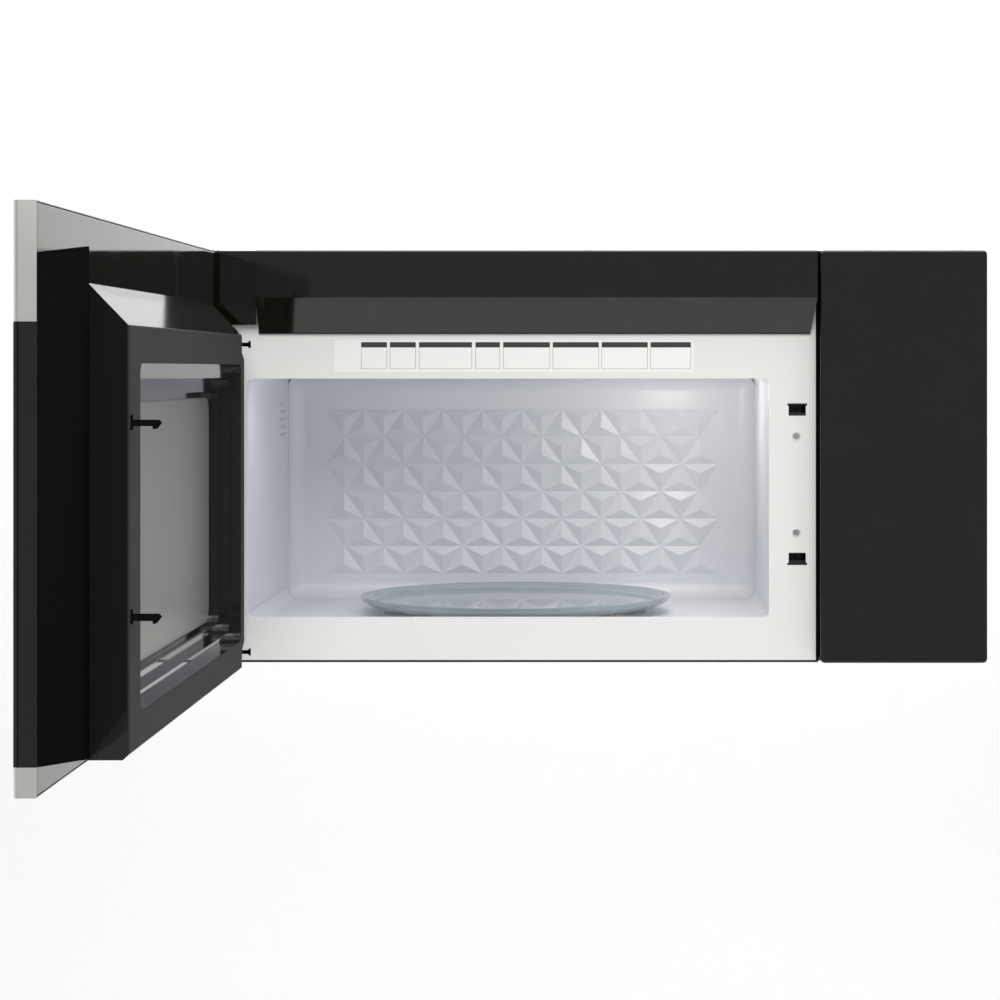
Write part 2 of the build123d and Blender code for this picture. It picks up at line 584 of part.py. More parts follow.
# Magnetron: steel yoke, two ring magnets, cooling fins on the anode and a filter box below.
YOKE_WIDTH = 88.0
YOKE_HEIGHT = 84.0
YOKE_DEPTH = 72.0
YOKE_WALL = 2.0
YOKE_BOTTOM = GUIDE_BOTTOM - YOKE_HEIGHT
ANODE_RADIUS = 19.0
FIN_COUNT = 6
FIN_PITCH = 7.5
FIN_SHEET = 0.8
MAGNET_RADIUS = 27.0
MAGNET_THICK = 12.0
FILTER_BOX = (64.0, 60.0, 26.0)  # length, width and height of the box under the yoke
with BuildPart() as magnetron:
    with BuildSketch(front_plane(PORT_Y + YOKE_DEPTH / 2)):
        with Locations((MAGNETRON_X, YOKE_BOTTOM + YOKE_HEIGHT / 2)):
            Rectangle(YOKE_WIDTH, YOKE_HEIGHT)
            Rectangle(YOKE_WIDTH - 2 * YOKE_WALL, YOKE_HEIGHT - 2 * YOKE_WALL, mode=Mode.SUBTRACT)
    extrude(amount=YOKE_DEPTH)
    with BuildSketch(Plane.XY.offset(YOKE_BOTTOM + YOKE_WALL)):
        with Locations((MAGNETRON_X, PORT_Y)):
            Circle(ANODE_RADIUS)
    extrude(amount=YOKE_HEIGHT - 2 * YOKE_WALL)
    for magnet_z in (YOKE_BOTTOM + YOKE_WALL, GUIDE_BOTTOM - YOKE_WALL - MAGNET_THICK):
        with BuildSketch(Plane.XY.offset(magnet_z)):
            with Locations((MAGNETRON_X, PORT_Y)):
                Circle(MAGNET_RADIUS)
        extrude(amount=MAGNET_THICK)
    for fin in range(FIN_COUNT):
        fin_z = YOKE_BOTTOM + YOKE_HEIGHT / 2 + (fin - (FIN_COUNT - 1) / 2) * FIN_PITCH
        with BuildSketch(Plane.XY.offset(fin_z)):
            with Locations((MAGNETRON_X, PORT_Y)):
                Rectangle(YOKE_WIDTH - 2 * YOKE_WALL, YOKE_DEPTH - 8)
        extrude(amount=FIN_SHEET)
    with BuildSketch(Plane.XY.offset(YOKE_BOTTOM)):
        with Locations((MAGNETRON_X, PORT_Y)):
            RectangleRounded(FILTER_BOX[0], FILTER_BOX[1], 4)
    extrude(amount=-FILTER_BOX[2])
    with BuildSketch(Plane.XY.offset(GUIDE_BOTTOM)):
        with Locations((MAGNETRON_X, PORT_Y)):
            Circle(ANTENNA_RADIUS)
    extrude(amount=ANTENNA_RISE)
save(magnetron, "magnetron")

# Shelf that carries the heavy parts over the air duct, open for the air beside the wall.
SHELF_TOP = BOTTOM + 23.5
SHELF_LEFT = CAVITY_RIGHT + CAVITY_SHEET + 1.5
SHELF_RIGHT = HALF_WIDTH - SHEET - SLIP - SHEET - SHEET_BEND
SHELF_FRONT = FRAME_BACK + 2.0
SHELF_REAR = -48.0
AIR_SLOT_WIDTH = 22.0
with BuildPart() as component_shelf:
    with BuildSketch(side_plane(SHELF_LEFT)):
        with BuildLine():
            FilletPolyline(
                (SHELF_FRONT, BASE_TOP),
                (SHELF_FRONT, SHELF_TOP),
                (SHELF_REAR, SHELF_TOP),
                (SHELF_REAR, BASE_TOP),
                radius=SHEET_BEND,
            )
            offset(amount=SHEET, side=Side.RIGHT)
        make_face()
    extrude(amount=SHELF_RIGHT - SHELF_LEFT)
    with BuildSketch(Plane.XY.offset(SHELF_TOP)):
        with Locations((SHELF_RIGHT - AIR_SLOT_WIDTH / 2 - 7, FILTER_Y)):
            RectangleRounded(AIR_SLOT_WIDTH, FILTER_WIDTH, 5)
    extrude(amount=2 * SHEET, both=True, mode=Mode.SUBTRACT)
save(component_shelf, "component_shelf")

# High-voltage transformer: laminated core with two windings round its middle leg.
CORE_X = HALF_WIDTH - 92.5
CORE_Y = FRONT + 90.0
CORE_WIDTH = 112.0
CORE_HEIGHT = 86.0
CORE_DEPTH = 62.0
LEG_WIDTH = 34.0
CORE_WINDOW = 21.0  # width of each hole for the windings
WINDINGS = ((19.0, 20.0, 15.0), (42.0, 24.0, 18.0))  # foot, height and overhang
with BuildPart() as transformer:
    with BuildSketch(front_plane(CORE_Y + CORE_DEPTH / 2)):
        with Locations((CORE_X, SHELF_TOP + CORE_HEIGHT / 2)):
            Rectangle(CORE_WIDTH, CORE_HEIGHT)
            with GridLocations(LEG_WIDTH + CORE_WINDOW, 0, 2, 1):
                Rectangle(CORE_WINDOW, CORE_HEIGHT - LEG_WIDTH, mode=Mode.SUBTRACT)
    extrude(amount=CORE_DEPTH)
    for coil_z, coil_height, overhang in WINDINGS:
        with BuildSketch(Plane.XY.offset(SHELF_TOP + coil_z)):
            with Locations((CORE_X, CORE_Y)):
                RectangleRounded(LEG_WIDTH + 2 * CORE_WINDOW - 4, CORE_DEPTH + 2 * overhang, 14)
        extrude(amount=coil_height)
save(transformer, "high_voltage_transformer")

# High-voltage capacitor: oval can with two blade terminals.
CAN_X = HALF_WIDTH - 172.5
CAN_Y = FRONT + 76.0
CAN_LENGTH = 52.0
CAN_WIDTH = 33.0
CAN_HEIGHT = 84.0
TERMINAL_RISE = 9.0
with BuildPart() as capacitor:
    with BuildSketch(Plane.XY.offset(SHELF_TOP)):
        with Locations((CAN_X, CAN_Y)):
            SlotOverall(CAN_LENGTH, CAN_WIDTH, rotation=90)
    extrude(amount=CAN_HEIGHT)
    fillet(capacitor.faces().sort_by(Axis.Z)[-1].edges(), 1.5)
    with BuildSketch(Plane.XY.offset(SHELF_TOP + CAN_HEIGHT)):
        with Locations((CAN_X, CAN_Y)):
            with GridLocations(0, 22, 1, 2):
                Rectangle(0.8, 6.4)
    extrude(amount=TERMINAL_RISE)
save(capacitor, "high_voltage_capacitor")

# Magnetron cooling fan: shroud ring on an upright plate, with its motor carried on four posts.
SHROUD_SIZE = 112.0
SHROUD_PLATE = 2.0
SHROUD_FRONT = FAN_Y - FAN_DEPTH / 2 - 3
FAN_MOTOR_Y = FAN_Y + FAN_DEPTH / 2 + 3
FAN_SHAFT_RADIUS = 2.0
SHROUD_FOOT = 40.0  # half width of the plate under the ring
SHROUD_WALL = 2.0
TIP_GAP = 2.0
POST_SPACING = 76.0
POST_RADIUS = 3.5
CROSS_ARM = (114.0, 10.0)
ARM_THICK = 2.0
with BuildPart() as fan_shroud:
    with BuildSketch(front_plane(SHROUD_FRONT + SHROUD_PLATE)):
        with Locations((FAN_X, FAN_Z)):
            RectangleRounded(SHROUD_SIZE, SHROUD_SIZE, 8)
        span(FAN_X - SHROUD_FOOT, FAN_X + SHROUD_FOOT, SHELF_TOP, FAN_Z)
        with Locations((FAN_X, FAN_Z)):
            Circle(FAN_RADIUS + TIP_GAP, mode=Mode.SUBTRACT)
    extrude(amount=SHROUD_PLATE)
    with BuildSketch(front_plane(FAN_Y + FAN_DEPTH / 2)):
        with Locations((FAN_X, FAN_Z)):
            Circle(FAN_RADIUS + TIP_GAP + SHROUD_WALL)
            Circle(FAN_RADIUS + TIP_GAP, mode=Mode.SUBTRACT)
    extrude(amount=FAN_Y + FAN_DEPTH / 2 - SHROUD_FRONT)
    # Posts and the cross arms that carry the motor.
    with BuildSketch(front_plane(FAN_MOTOR_Y + ARM_THICK)):
        with Locations((FAN_X, FAN_Z)):
            with GridLocations(POST_SPACING, POST_SPACING, 2, 2):
                Circle(POST_RADIUS)
    extrude(amount=FAN_MOTOR_Y + ARM_THICK - SHROUD_FRONT - SHROUD_PLATE)
    with BuildSketch(front_plane(FAN_MOTOR_Y + ARM_THICK)):
        with Locations((FAN_X, FAN_Z)):
            SlotOverall(*CROSS_ARM, rotation=45)
            SlotOverall(*CROSS_ARM, rotation=-45)
            Circle(FAN_SHAFT_RADIUS + 1, mode=Mode.SUBTRACT)
    extrude(amount=ARM_THICK)
save(fan_shroud, "fan_shroud")

STACK_DEPTH = 20.0
STACK_REAR = FAN_MOTOR_Y + ARM_THICK + STACK_DEPTH
with BuildPart() as fan_motor:
    with BuildSketch(front_plane(STACK_REAR)):
        with Locations((FAN_X, FAN_Z)):
            RectangleRounded(58, 50, 3)
    extrude(amount=STACK_DEPTH)
    with BuildSketch(front_plane(STACK_REAR + 2)):
        with Locations((FAN_X, FAN_Z - 14)):
            RectangleRounded(38, 24, 5)
    extrude(amount=STACK_DEPTH + 2)
    with BuildSketch(front_plane(STACK_REAR)):
        with Locations((FAN_X, FAN_Z)):
            Circle(FAN_SHAFT_RADIUS + RUNNING_PLAY)
    extrude(amount=STACK_DEPTH, mode=Mode.SUBTRACT)
save(fan_motor, "fan_motor")

# Axial fan: pitched blades, trimmed round to the shroud, on a hub and steel shaft.
FAN_BLADES = 5
FAN_HUB_RADIUS = 11.0
with BuildPart() as blade_blank:
    blade_plane = Plane(origin=(FAN_X, FAN_Y, FAN_Z), x_dir=(1, 0, 0), z_dir=(0, -0.82, 0.57))
    with BuildSketch(blade_plane):
        with BuildLine():
            Polyline(
                (FAN_HUB_RADIUS - 2, -7),
                (FAN_RADIUS + 6, -15),
                (FAN_RADIUS + 6, 12),
                (FAN_HUB_RADIUS - 2, 8),
                close=True,
            )
        make_face()
    extrude(amount=0.8, both=True)
    with BuildSketch(front_plane(FAN_Y + FAN_DEPTH)):
        with Locations((FAN_X, FAN_Z)):
            Circle(FAN_RADIUS)
    extrude(amount=2 * FAN_DEPTH, mode=Mode.INTERSECT)
with BuildPart() as cooling_fan:
    with BuildSketch(front_plane(FAN_Y + FAN_DEPTH / 2)):
        with Locations((FAN_X, FAN_Z)):
            Circle(FAN_HUB_RADIUS)
    extrude(amount=FAN_DEPTH)
    fan_axis = Axis((FAN_X, FAN_Y, FAN_Z), (0, 1, 0))
    add([blade_blank.part.rotate(fan_axis, 360 / FAN_BLADES * blade) for blade in range(FAN_BLADES)])
    with BuildSketch(front_plane(STACK_REAR - 4)):
        with Locations((FAN_X, FAN_Z)):
            Circle(FAN_SHAFT_RADIUS)
    extrude(amount=STACK_REAR - 4 - FAN_Y)
save(cooling_fan, "cooling_fan")

# =================================================================== exhaust blower
# Scroll: three quarter arcs of growing radius, then a straight duct up to the outlet.
SCROLL_STEP = 4.0
SCROLL_START = WHEEL_RADIUS + SCROLL_GAP
SCROLL_TOP = TOP - SHEET - SLIP
SCROLL_WIDTH = WHEEL_LENGTH + 8.0
INLET_RADIUS = 31.0
TONGUE = 6.0
BLOWER_REACH = WHEEL_X + SCROLL_WIDTH / 2

with BuildPart() as blower_housing:
    for inset, top, mode in ((0.0, SCROLL_TOP, Mode.ADD), (SCROLL_WALL, SCROLL_TOP + 5, Mode.SUBTRACT)):
        small = SCROLL_START - inset
        middle = small + SCROLL_STEP
        large = middle + SCROLL_STEP
        back = BLOWER_AXIS_Y + SCROLL_STEP
        for side in (-1, 1):
            with BuildSketch(side_plane(side * WHEEL_X - SCROLL_WIDTH / 2 + inset)):
                with BuildLine():
                    CenterArc((BLOWER_AXIS_Y, BLOWER_AXIS_Z), small, 90, 90)
                    CenterArc((back, BLOWER_AXIS_Z), middle, 180, 90)
                    CenterArc((back, BLOWER_AXIS_Z + SCROLL_STEP), large, 270, 90)
                    Polyline(
                        (back + large, BLOWER_AXIS_Z + SCROLL_STEP),
                        (back + large, top),
                        (BLOWER_AXIS_Y + TONGUE + inset, top),
                        (BLOWER_AXIS_Y + TONGUE + inset, BLOWER_AXIS_Z + small + 3),
                        (BLOWER_AXIS_Y, BLOWER_AXIS_Z + small),
                    )
                make_face()
            extrude(amount=SCROLL_WIDTH - 2 * inset, mode=mode)
    with BuildSketch(side_plane(-BLOWER_REACH)):
        with Locations((BLOWER_AXIS_Y, BLOWER_AXIS_Z)):
            Circle(INLET_RADIUS)
    extrude(amount=2 * BLOWER_REACH, mode=Mode.SUBTRACT)
    # Cradle under the motor that ties the two scrolls together.
    bridge = WHEEL_X - SCROLL_WIDTH / 2
    with BuildSketch(side_plane(-bridge)):
        with Locations((BLOWER_AXIS_Y, BLOWER_AXIS_Z)):
            Circle(BLOWER_MOTOR_RADIUS + 4)
            Circle(BLOWER_MOTOR_RADIUS + SLIP, mode=Mode.SUBTRACT)
            with Locations((0, 30)):
                Rectangle(200, 60, mode=Mode.SUBTRACT)
    extrude(amount=2 * bridge)
save(blower_housing, "blower_housing")

BLOWER_SHAFT_RADIUS = 3.0
with BuildPart() as blower_motor:
    with BuildSketch(side_plane(-BLOWER_MOTOR_LENGTH / 2)):
        with Locations((BLOWER_AXIS_Y, BLOWER_AXIS_Z)):
            Circle(BLOWER_MOTOR_RADIUS)
    extrude(amount=BLOWER_MOTOR_LENGTH)
    chamfer(blower_motor.edges().filter_by(GeomType.CIRCLE), 4)
    # Cooling slots round the can.
    with BuildSketch(side_plane(-BLOWER_MOTOR_LENGTH / 2 + 16)):
        with Locations((BLOWER_AXIS_Y, BLOWER_AXIS_Z)):
            with PolarLocations(BLOWER_MOTOR_RADIUS, 16):
                Rectangle(5, 4)
    extrude(amount=BLOWER_MOTOR_LENGTH - 32, mode=Mode.SUBTRACT)
    with BuildSketch(side_plane(-BLOWER_MOTOR_LENGTH / 2)):
        with Locations((BLOWER_AXIS_Y, BLOWER_AXIS_Z)):
            Circle(BLOWER_SHAFT_RADIUS + RUNNING_PLAY)
    extrude(amount=BLOWER_MOTOR_LENGTH, mode=Mode.SUBTRACT)
save(blower_motor, "blower_motor")

# Two forward-curved centrifugal wheels on one shaft.
BLADE_CHORD = 9.0
BLADE_SHEET = 0.9
BLADE_INNER = WHEEL_RADIUS - BLADE_CHORD
blade_curve = [(0.0, 0.0), (0.3, 0.4), (0.6, 1.5), (0.85, 3.2), (1.0, 5.0)]
blade_outline = [(BLADE_INNER + BLADE_CHORD * run, rise) for run, rise in blade_curve]
blade_outline += [(BLADE_INNER + BLADE_CHORD * run, rise - BLADE_SHEET) for run, rise in blade_curve[::-1]]
with BuildPart() as blower_wheels:
    with BuildSketch(side_plane(-WHEEL_X - WHEEL_LENGTH / 2)):
        with Locations((BLOWER_AXIS_Y, BLOWER_AXIS_Z)):
            Circle(BLOWER_SHAFT_RADIUS)
    extrude(amount=2 * WHEEL_X + WHEEL_LENGTH)
    for side in (-1, 1):
        wheel_left = side * WHEEL_X - WHEEL_LENGTH / 2
        with BuildSketch(side_plane(wheel_left)):
            with Locations((BLOWER_AXIS_Y, BLOWER_AXIS_Z)):
                with PolarLocations(0, WHEEL_BLADES):
                    Polygon(*blade_outline, align=None)
        extrude(amount=WHEEL_LENGTH)
        # End rings hold the blades; a disc in the middle carries them on the hub.
        for ring_x in (wheel_left, wheel_left + WHEEL_LENGTH - 2):
            with BuildSketch(side_plane(ring_x)):
                with Locations((BLOWER_AXIS_Y, BLOWER_AXIS_Z)):
                    Circle(WHEEL_RADIUS + 0.6)
                    Circle(BLADE_INNER + 3, mode=Mode.SUBTRACT)
            extrude(amount=2)
        with BuildSketch(side_plane(side * WHEEL_X - 1)):
            with Locations((BLOWER_AXIS_Y, BLOWER_AXIS_Z)):
                Circle(WHEEL_RADIUS + 0.6)
        extrude(amount=2)
        with BuildSketch(side_plane(side * WHEEL_X - 10)):
            with Locations((BLOWER_AXIS_Y, BLOWER_AXIS_Z)):
                Circle(BLOWER_SHAFT_RADIUS + 4)
        extrude(amount=20)
save(blower_wheels, "blower_wheels")

# =================================================================== exhaust outlet
COLLAR_RISE = 10.0
COLLAR_WALL = 1.0
COLLAR_FLANGE = 15.0
FLAP_THICK = 0.8
FLAP_ROD = 1.5
FLAP_GAP = 0.8
FLAP_AXIS_Y = DUCT_Y - DUCT_DEPTH / 2 + COLLAR_WALL + FLAP_GAP + FLAP_ROD
FLAP_AXIS_Z = TOP + SHEET + 2.0
with BuildPart() as exhaust_adapter:
    with BuildSketch(Plane.XY.offset(TOP)):
        with Locations((0, DUCT_Y)):
            RectangleRounded(DUCT_WIDTH + 2 * COLLAR_FLANGE, DUCT_DEPTH + 2 * COLLAR_FLANGE, 6)
    extrude(amount=SHEET)
    with BuildSketch(Plane.XY.offset(TOP)):
        with Locations((0, DUCT_Y)):
            Rectangle(DUCT_WIDTH, DUCT_DEPTH)
    extrude(amount=COLLAR_RISE)
    with BuildSketch(Plane.XY.offset(TOP)):
        with Locations((0, DUCT_Y)):
            Rectangle(DUCT_WIDTH - 2 * COLLAR_WALL, DUCT_DEPTH - 2 * COLLAR_WALL)
    extrude(amount=COLLAR_RISE, mode=Mode.SUBTRACT)
    with BuildSketch(side_plane(-DUCT_WIDTH / 2)):
        with Locations((FLAP_AXIS_Y, FLAP_AXIS_Z)):
            Circle(FLAP_ROD + 0.1)
    extrude(amount=DUCT_WIDTH, mode=Mode.SUBTRACT)
save(exhaust_adapter, "exhaust_adapter")

# Damper flap: thin leaf on a rod that turns in the collar's end walls.
FLAP_LENGTH = DUCT_WIDTH - 2 * COLLAR_WALL - 2 * FLAP_GAP
FLAP_WIDTH = DUCT_DEPTH - 2 * COLLAR_WALL - 2 * FLAP_GAP - FLAP_ROD
with BuildPart() as damper_flap:
    with BuildSketch(side_plane(-FLAP_LENGTH / 2)):
        with BuildLine():
            Polyline(
                (FLAP_AXIS_Y, FLAP_AXIS_Z - FLAP_THICK / 2),
                (FLAP_AXIS_Y + FLAP_WIDTH - 4, FLAP_AXIS_Z - FLAP_THICK / 2),
                (FLAP_AXIS_Y + FLAP_WIDTH, FLAP_AXIS_Z + 3),
                (FLAP_AXIS_Y + FLAP_WIDTH - FLAP_THICK, FLAP_AXIS_Z + 3),
                (FLAP_AXIS_Y + FLAP_WIDTH - 4.4, FLAP_AXIS_Z + FLAP_THICK / 2),
                (FLAP_AXIS_Y, FLAP_AXIS_Z + FLAP_THICK / 2),
                close=True,
            )
        make_face()
    extrude(amount=FLAP_LENGTH)
    with BuildSketch(side_plane(-DUCT_WIDTH / 2 + 0.2)):
        with Locations((FLAP_AXIS_Y, FLAP_AXIS_Z)):
            Circle(FLAP_ROD)
    extrude(amount=DUCT_WIDTH - 0.4)
save(damper_flap, "damper_flap")

# Charcoal filter: open cells behind the air slots of the face frame.
CHARCOAL_LENGTH = PANEL_LEFT - TRIM_LEFT - 77.5
CHARCOAL_HEIGHT = 60.0
CHARCOAL_THICK = 12.0
CHARCOAL_X = TRIM_LEFT / 2 + PANEL_LEFT / 2
CELL_PITCH_X = 14.0
CELL_PITCH_Z = 13.0
CELL_COLUMNS = int(CHARCOAL_LENGTH / CELL_PITCH_X)
with BuildPart() as charcoal_filter:
    with BuildSketch(front_plane(FRAME_BACK + SLIP + CHARCOAL_THICK)):
        with Locations((CHARCOAL_X, VENT_SLOT_Z)):
            RectangleRounded(CHARCOAL_LENGTH, CHARCOAL_HEIGHT, 3)
            with GridLocations(CELL_PITCH_X, CELL_PITCH_Z, CELL_COLUMNS, 4):
                RegularPolygon(6.2, 6, mode=Mode.SUBTRACT)
    extrude(amount=CHARCOAL_THICK)
save(charcoal_filter, "charcoal_filter")

# Grommet for the power cord in the cabinet's top.
GROMMET_EASE = 0.1
with BuildPart() as cord_grommet:
    with BuildSketch(Plane(origin=(CORD_X, CORD_Y, 0), x_dir=(1, 0, 0), z_dir=(0, -1, 0))):
        with BuildLine():
            Polyline(
                (CORD_HOLE - 4.5, TOP - SHEET - 3),
                (CORD_HOLE + 2.5, TOP - SHEET - 3),
                (CORD_HOLE + 2.5, TOP - SHEET),
                (CORD_HOLE - GROMMET_EASE, TOP - SHEET),
                (CORD_HOLE - GROMMET_EASE, TOP),
                (CORD_HOLE + 2.5, TOP),
                (CORD_HOLE + 1.5, TOP + 2.5),
                (CORD_HOLE - 4.5, TOP + 2.5),
                close=True,
            )
        make_face()
    revolve(axis=Axis((CORD_X, CORD_Y, 0), (0, 0, 1)))
save(cord_grommet, "cord_grommet")

# =================================================================== front dress
DRESS_TOP = TOP - 0.7
# Right panel: gloss moulding open at the back, with posts for the control board.
BOARD_BACK = FRONT - 8.0
BOARD_THICK = 1.6
BOARD_LEFT = PANEL_LEFT + 14.0
BOARD_RIGHT = HALF_WIDTH - 14.0
BOARD_BOTTOM = -120.0
BOARD_TOP = 130.0
BOARD_MID_X = (BOARD_LEFT + BOARD_RIGHT) / 2
BOARD_MID_Z = (BOARD_BOTTOM + BOARD_TOP) / 2
POST_SPACING_X = BOARD_RIGHT - BOARD_LEFT - 14
POST_SPACING_Z = BOARD_TOP - BOARD_BOTTOM - 14
with BuildPart() as right_panel:
    with BuildSketch(front_plane(FRONT)):
        span(PANEL_LEFT, HALF_WIDTH, BOTTOM + 0.7, DRESS_TOP)
    extrude(amount=PANEL_PROUD)
    fillet(right_panel.edges().filter_by(Axis.Y), 4)
    fillet(right_panel.faces().sort_by(Axis.Y)[0].edges(), 1.5)
    with BuildSketch(front_plane(FRONT)):
        span(
            PANEL_LEFT + PANEL_WALL,
            HALF_WIDTH - PANEL_WALL,
            BOTTOM + 0.7 + PANEL_WALL,
            DRESS_TOP - PANEL_WALL,
            2,
        )
    extrude(amount=PANEL_PROUD - PANEL_WALL, mode=Mode.SUBTRACT)
    with BuildSketch(front_plane(BOARD_BACK - BOARD_THICK)):
        with Locations((BOARD_MID_X, BOARD_MID_Z)):
            with GridLocations(POST_SPACING_X, POST_SPACING_Z, 2, 2):
                Circle(4)
                Circle(1.4, mode=Mode.SUBTRACT)
    extrude(amount=PANEL_PROUD - PANEL_WALL - 8.0 - BOARD_THICK + 0.5)
save(right_panel, "right_panel")

# Control board with its relays, capacitors and connector.
with BuildPart() as control_board:
    with BuildSketch(front_plane(BOARD_BACK)):
        span(BOARD_LEFT, BOARD_RIGHT, BOARD_BOTTOM, BOARD_TOP, 3)
        with Locations((BOARD_MID_X, BOARD_MID_Z)):
            with GridLocations(POST_SPACING_X, POST_SPACING_Z, 2, 2):
                Circle(1.6, mode=Mode.SUBTRACT)
    extrude(amount=BOARD_THICK)
    with BuildSketch(front_plane(BOARD_BACK)):
        with Locations((BOARD_MID_X - 30, BOARD_MID_Z + 40)):
            with GridLocations(24, 34, 2, 2):
                Rectangle(16, 24)
        with Locations((BOARD_MID_X + 28, BOARD_MID_Z + 50)):
            Rectangle(34, 30)
        with Locations((BOARD_MID_X + 20, BOARD_MID_Z - 60)):
            with GridLocations(22, 24, 3, 2):
                Circle(6)
        with Locations((BOARD_MID_X - 36, BOARD_MID_Z - 60)):
            Rectangle(12, 60)
    extrude(amount=-7)
save(control_board, "control_board")

# Top trim: moulded hood over the face frame; the lower half slopes back to a lip and the
# right end slants with it. Air leaves through the slots in its top.
TRIM_RIGHT = FRAME_RIGHT
TRIM_FRONT = FRONT - TRIM_PROUD
SLANT_RUN = TRIM_RIGHT - TRIM_RIGHT_LIP
TRIM_SLOT_PITCH = 24.0
TRIM_SLOTS = int((TRIM_RIGHT - TRIM_LEFT - 40.0) / TRIM_SLOT_PITCH)
with BuildPart() as trim_core:
    with BuildSketch(side_plane(TRIM_LEFT + TRIM_WALL)):
        with BuildLine():
            Polyline(
                (FRONT, DRESS_TOP - TRIM_WALL),
                (TRIM_FRONT + TRIM_WALL, DRESS_TOP - TRIM_WALL),
                (TRIM_FRONT + TRIM_WALL, TRIM_CREASE + TRIM_WALL * 0.3),
                (FRONT - TRIM_LIP_PROUD + TRIM_WALL, TRIM_LIP + TRIM_WALL),
                (FRONT, TRIM_LIP + TRIM_WALL),
                close=True,
            )
        make_face()
    extrude(amount=TRIM_RIGHT - TRIM_LEFT - 2 * TRIM_WALL)
    with BuildSketch(front_plane(FRONT)):
        with BuildLine():
            Polyline(
                (TRIM_RIGHT - TRIM_WALL, TRIM_CREASE),
                (TRIM_RIGHT, TRIM_CREASE),
                (TRIM_RIGHT, TRIM_LIP),
                (TRIM_RIGHT - TRIM_WALL - SLANT_RUN, TRIM_LIP),
                close=True,
            )
        make_face()
    extrude(amount=TRIM_PROUD, mode=Mode.SUBTRACT)
with BuildPart() as top_trim:
    with BuildSketch(side_plane(TRIM_LEFT)):
        with BuildLine():
            Polyline(
                (FRONT, DRESS_TOP),
                (TRIM_FRONT, DRESS_TOP),
                (TRIM_FRONT, TRIM_CREASE),
                (FRONT - TRIM_LIP_PROUD, TRIM_LIP + 1.2),
                (FRONT - TRIM_LIP_PROUD, TRIM_LIP),
                (FRONT, TRIM_LIP),
                close=True,
            )
        make_face()
    extrude(amount=TRIM_RIGHT - TRIM_LEFT)
    fillet(top_trim.edges().group_by(Axis.Y)[0].filter_by(Axis.X), 1.2)
    with BuildSketch(front_plane(FRONT)):
        with BuildLine():
            Polyline(
                (TRIM_RIGHT, TRIM_CREASE),
                (TRIM_RIGHT + 1, TRIM_CREASE),
                (TRIM_RIGHT + 1, TRIM_LIP),
                (TRIM_RIGHT_LIP, TRIM_LIP),
                close=True,
            )
        make_face()
    extrude(amount=TRIM_PROUD, mode=Mode.SUBTRACT)
    add(trim_core.part, mode=Mode.SUBTRACT)
    with BuildSketch(Plane.XY.offset(DRESS_TOP)):
        with Locations((TRIM_LEFT / 2 + TRIM_RIGHT / 2, FRONT - TRIM_PROUD / 2)):
            with GridLocations(TRIM_SLOT_PITCH, 0, TRIM_SLOTS, 1):
                SlotOverall(18, 4)
    extrude(amount=-2 * TRIM_WALL, mode=Mode.SUBTRACT)
save(top_trim, "top_trim")

# Hinge cover: block over the hinge corner with a raised pad, cut at one corner.
COVER_WALL = 2.0
COVER_END = TRIM_LEFT - COVER_GAP
with BuildPart() as hinge_cover:
    with BuildSketch(front_plane(FRONT)):
        span(-HALF_WIDTH + 0.7, COVER_END, COVER_FOOT, DRESS_TOP)
    extrude(amount=COVER_PROUD)
    fillet(hinge_cover.edges().filter_by(Axis.Y), 2)
    with BuildSketch(front_plane(FRONT - COVER_PROUD)):
        with BuildLine():
            Polyline(
                (COVER_LEFT, COVER_PAD_TOP),
                (COVER_LEFT, COVER_PAD_FOOT + 12.5),
                (COVER_LEFT + 18.9, COVER_PAD_FOOT),
                (COVER_RIGHT, COVER_PAD_FOOT),
                (COVER_RIGHT, COVER_PAD_TOP - 5),
                (COVER_RIGHT - 5, COVER_PAD_TOP),
                close=True,
            )
        make_face()
    extrude(amount=COVER_PAD)
    with BuildSketch(front_plane(FRONT)):
        span(
            -HALF_WIDTH + 0.7 + COVER_WALL,
            COVER_END - COVER_WALL,
            COVER_FOOT + COVER_WALL,
            DRESS_TOP - COVER_WALL,
        )
    extrude(amount=COVER_PROUD - COVER_WALL, mode=Mode.SUBTRACT)
save(hinge_cover, "hinge_cover")

# Two star-drive screws beside the oven opening that hold the latch housing.
SCREW_HEAD = 4.2
HEAD_RISE = 1.3  # low enough to clear the closed door
SOCKET_DEPTH = 1.0
SCREW_LENGTH = 12.0
with BuildPart() as frame_screws:
    with BuildSketch(front_plane(FRONT)):
        for z in FRAME_SCREW_Z:
            with Locations((FRAME_SCREW_X, z)):
                Circle(SCREW_HEAD)
    extrude(amount=HEAD_RISE)
    fillet(frame_screws.faces().sort_by(Axis.Y)[:2].edges(), 1.0)
    with BuildSketch(front_plane(FRONT - HEAD_RISE)):
        for z in FRAME_SCREW_Z:
            with Locations((FRAME_SCREW_X, z)):
                RegularPolygon(1.5, 6)
                RegularPolygon(1.5, 6, rotation=30)
    extrude(amount=-SOCKET_DEPTH, mode=Mode.SUBTRACT)
    with BuildSketch(front_plane(FRONT)):
        for z in FRAME_SCREW_Z:
            with Locations((FRAME_SCREW_X, z)):
                Circle(SCREW_RADIUS)
    extrude(amount=-SCREW_LENGTH)
save(frame_screws, "frame_screws")

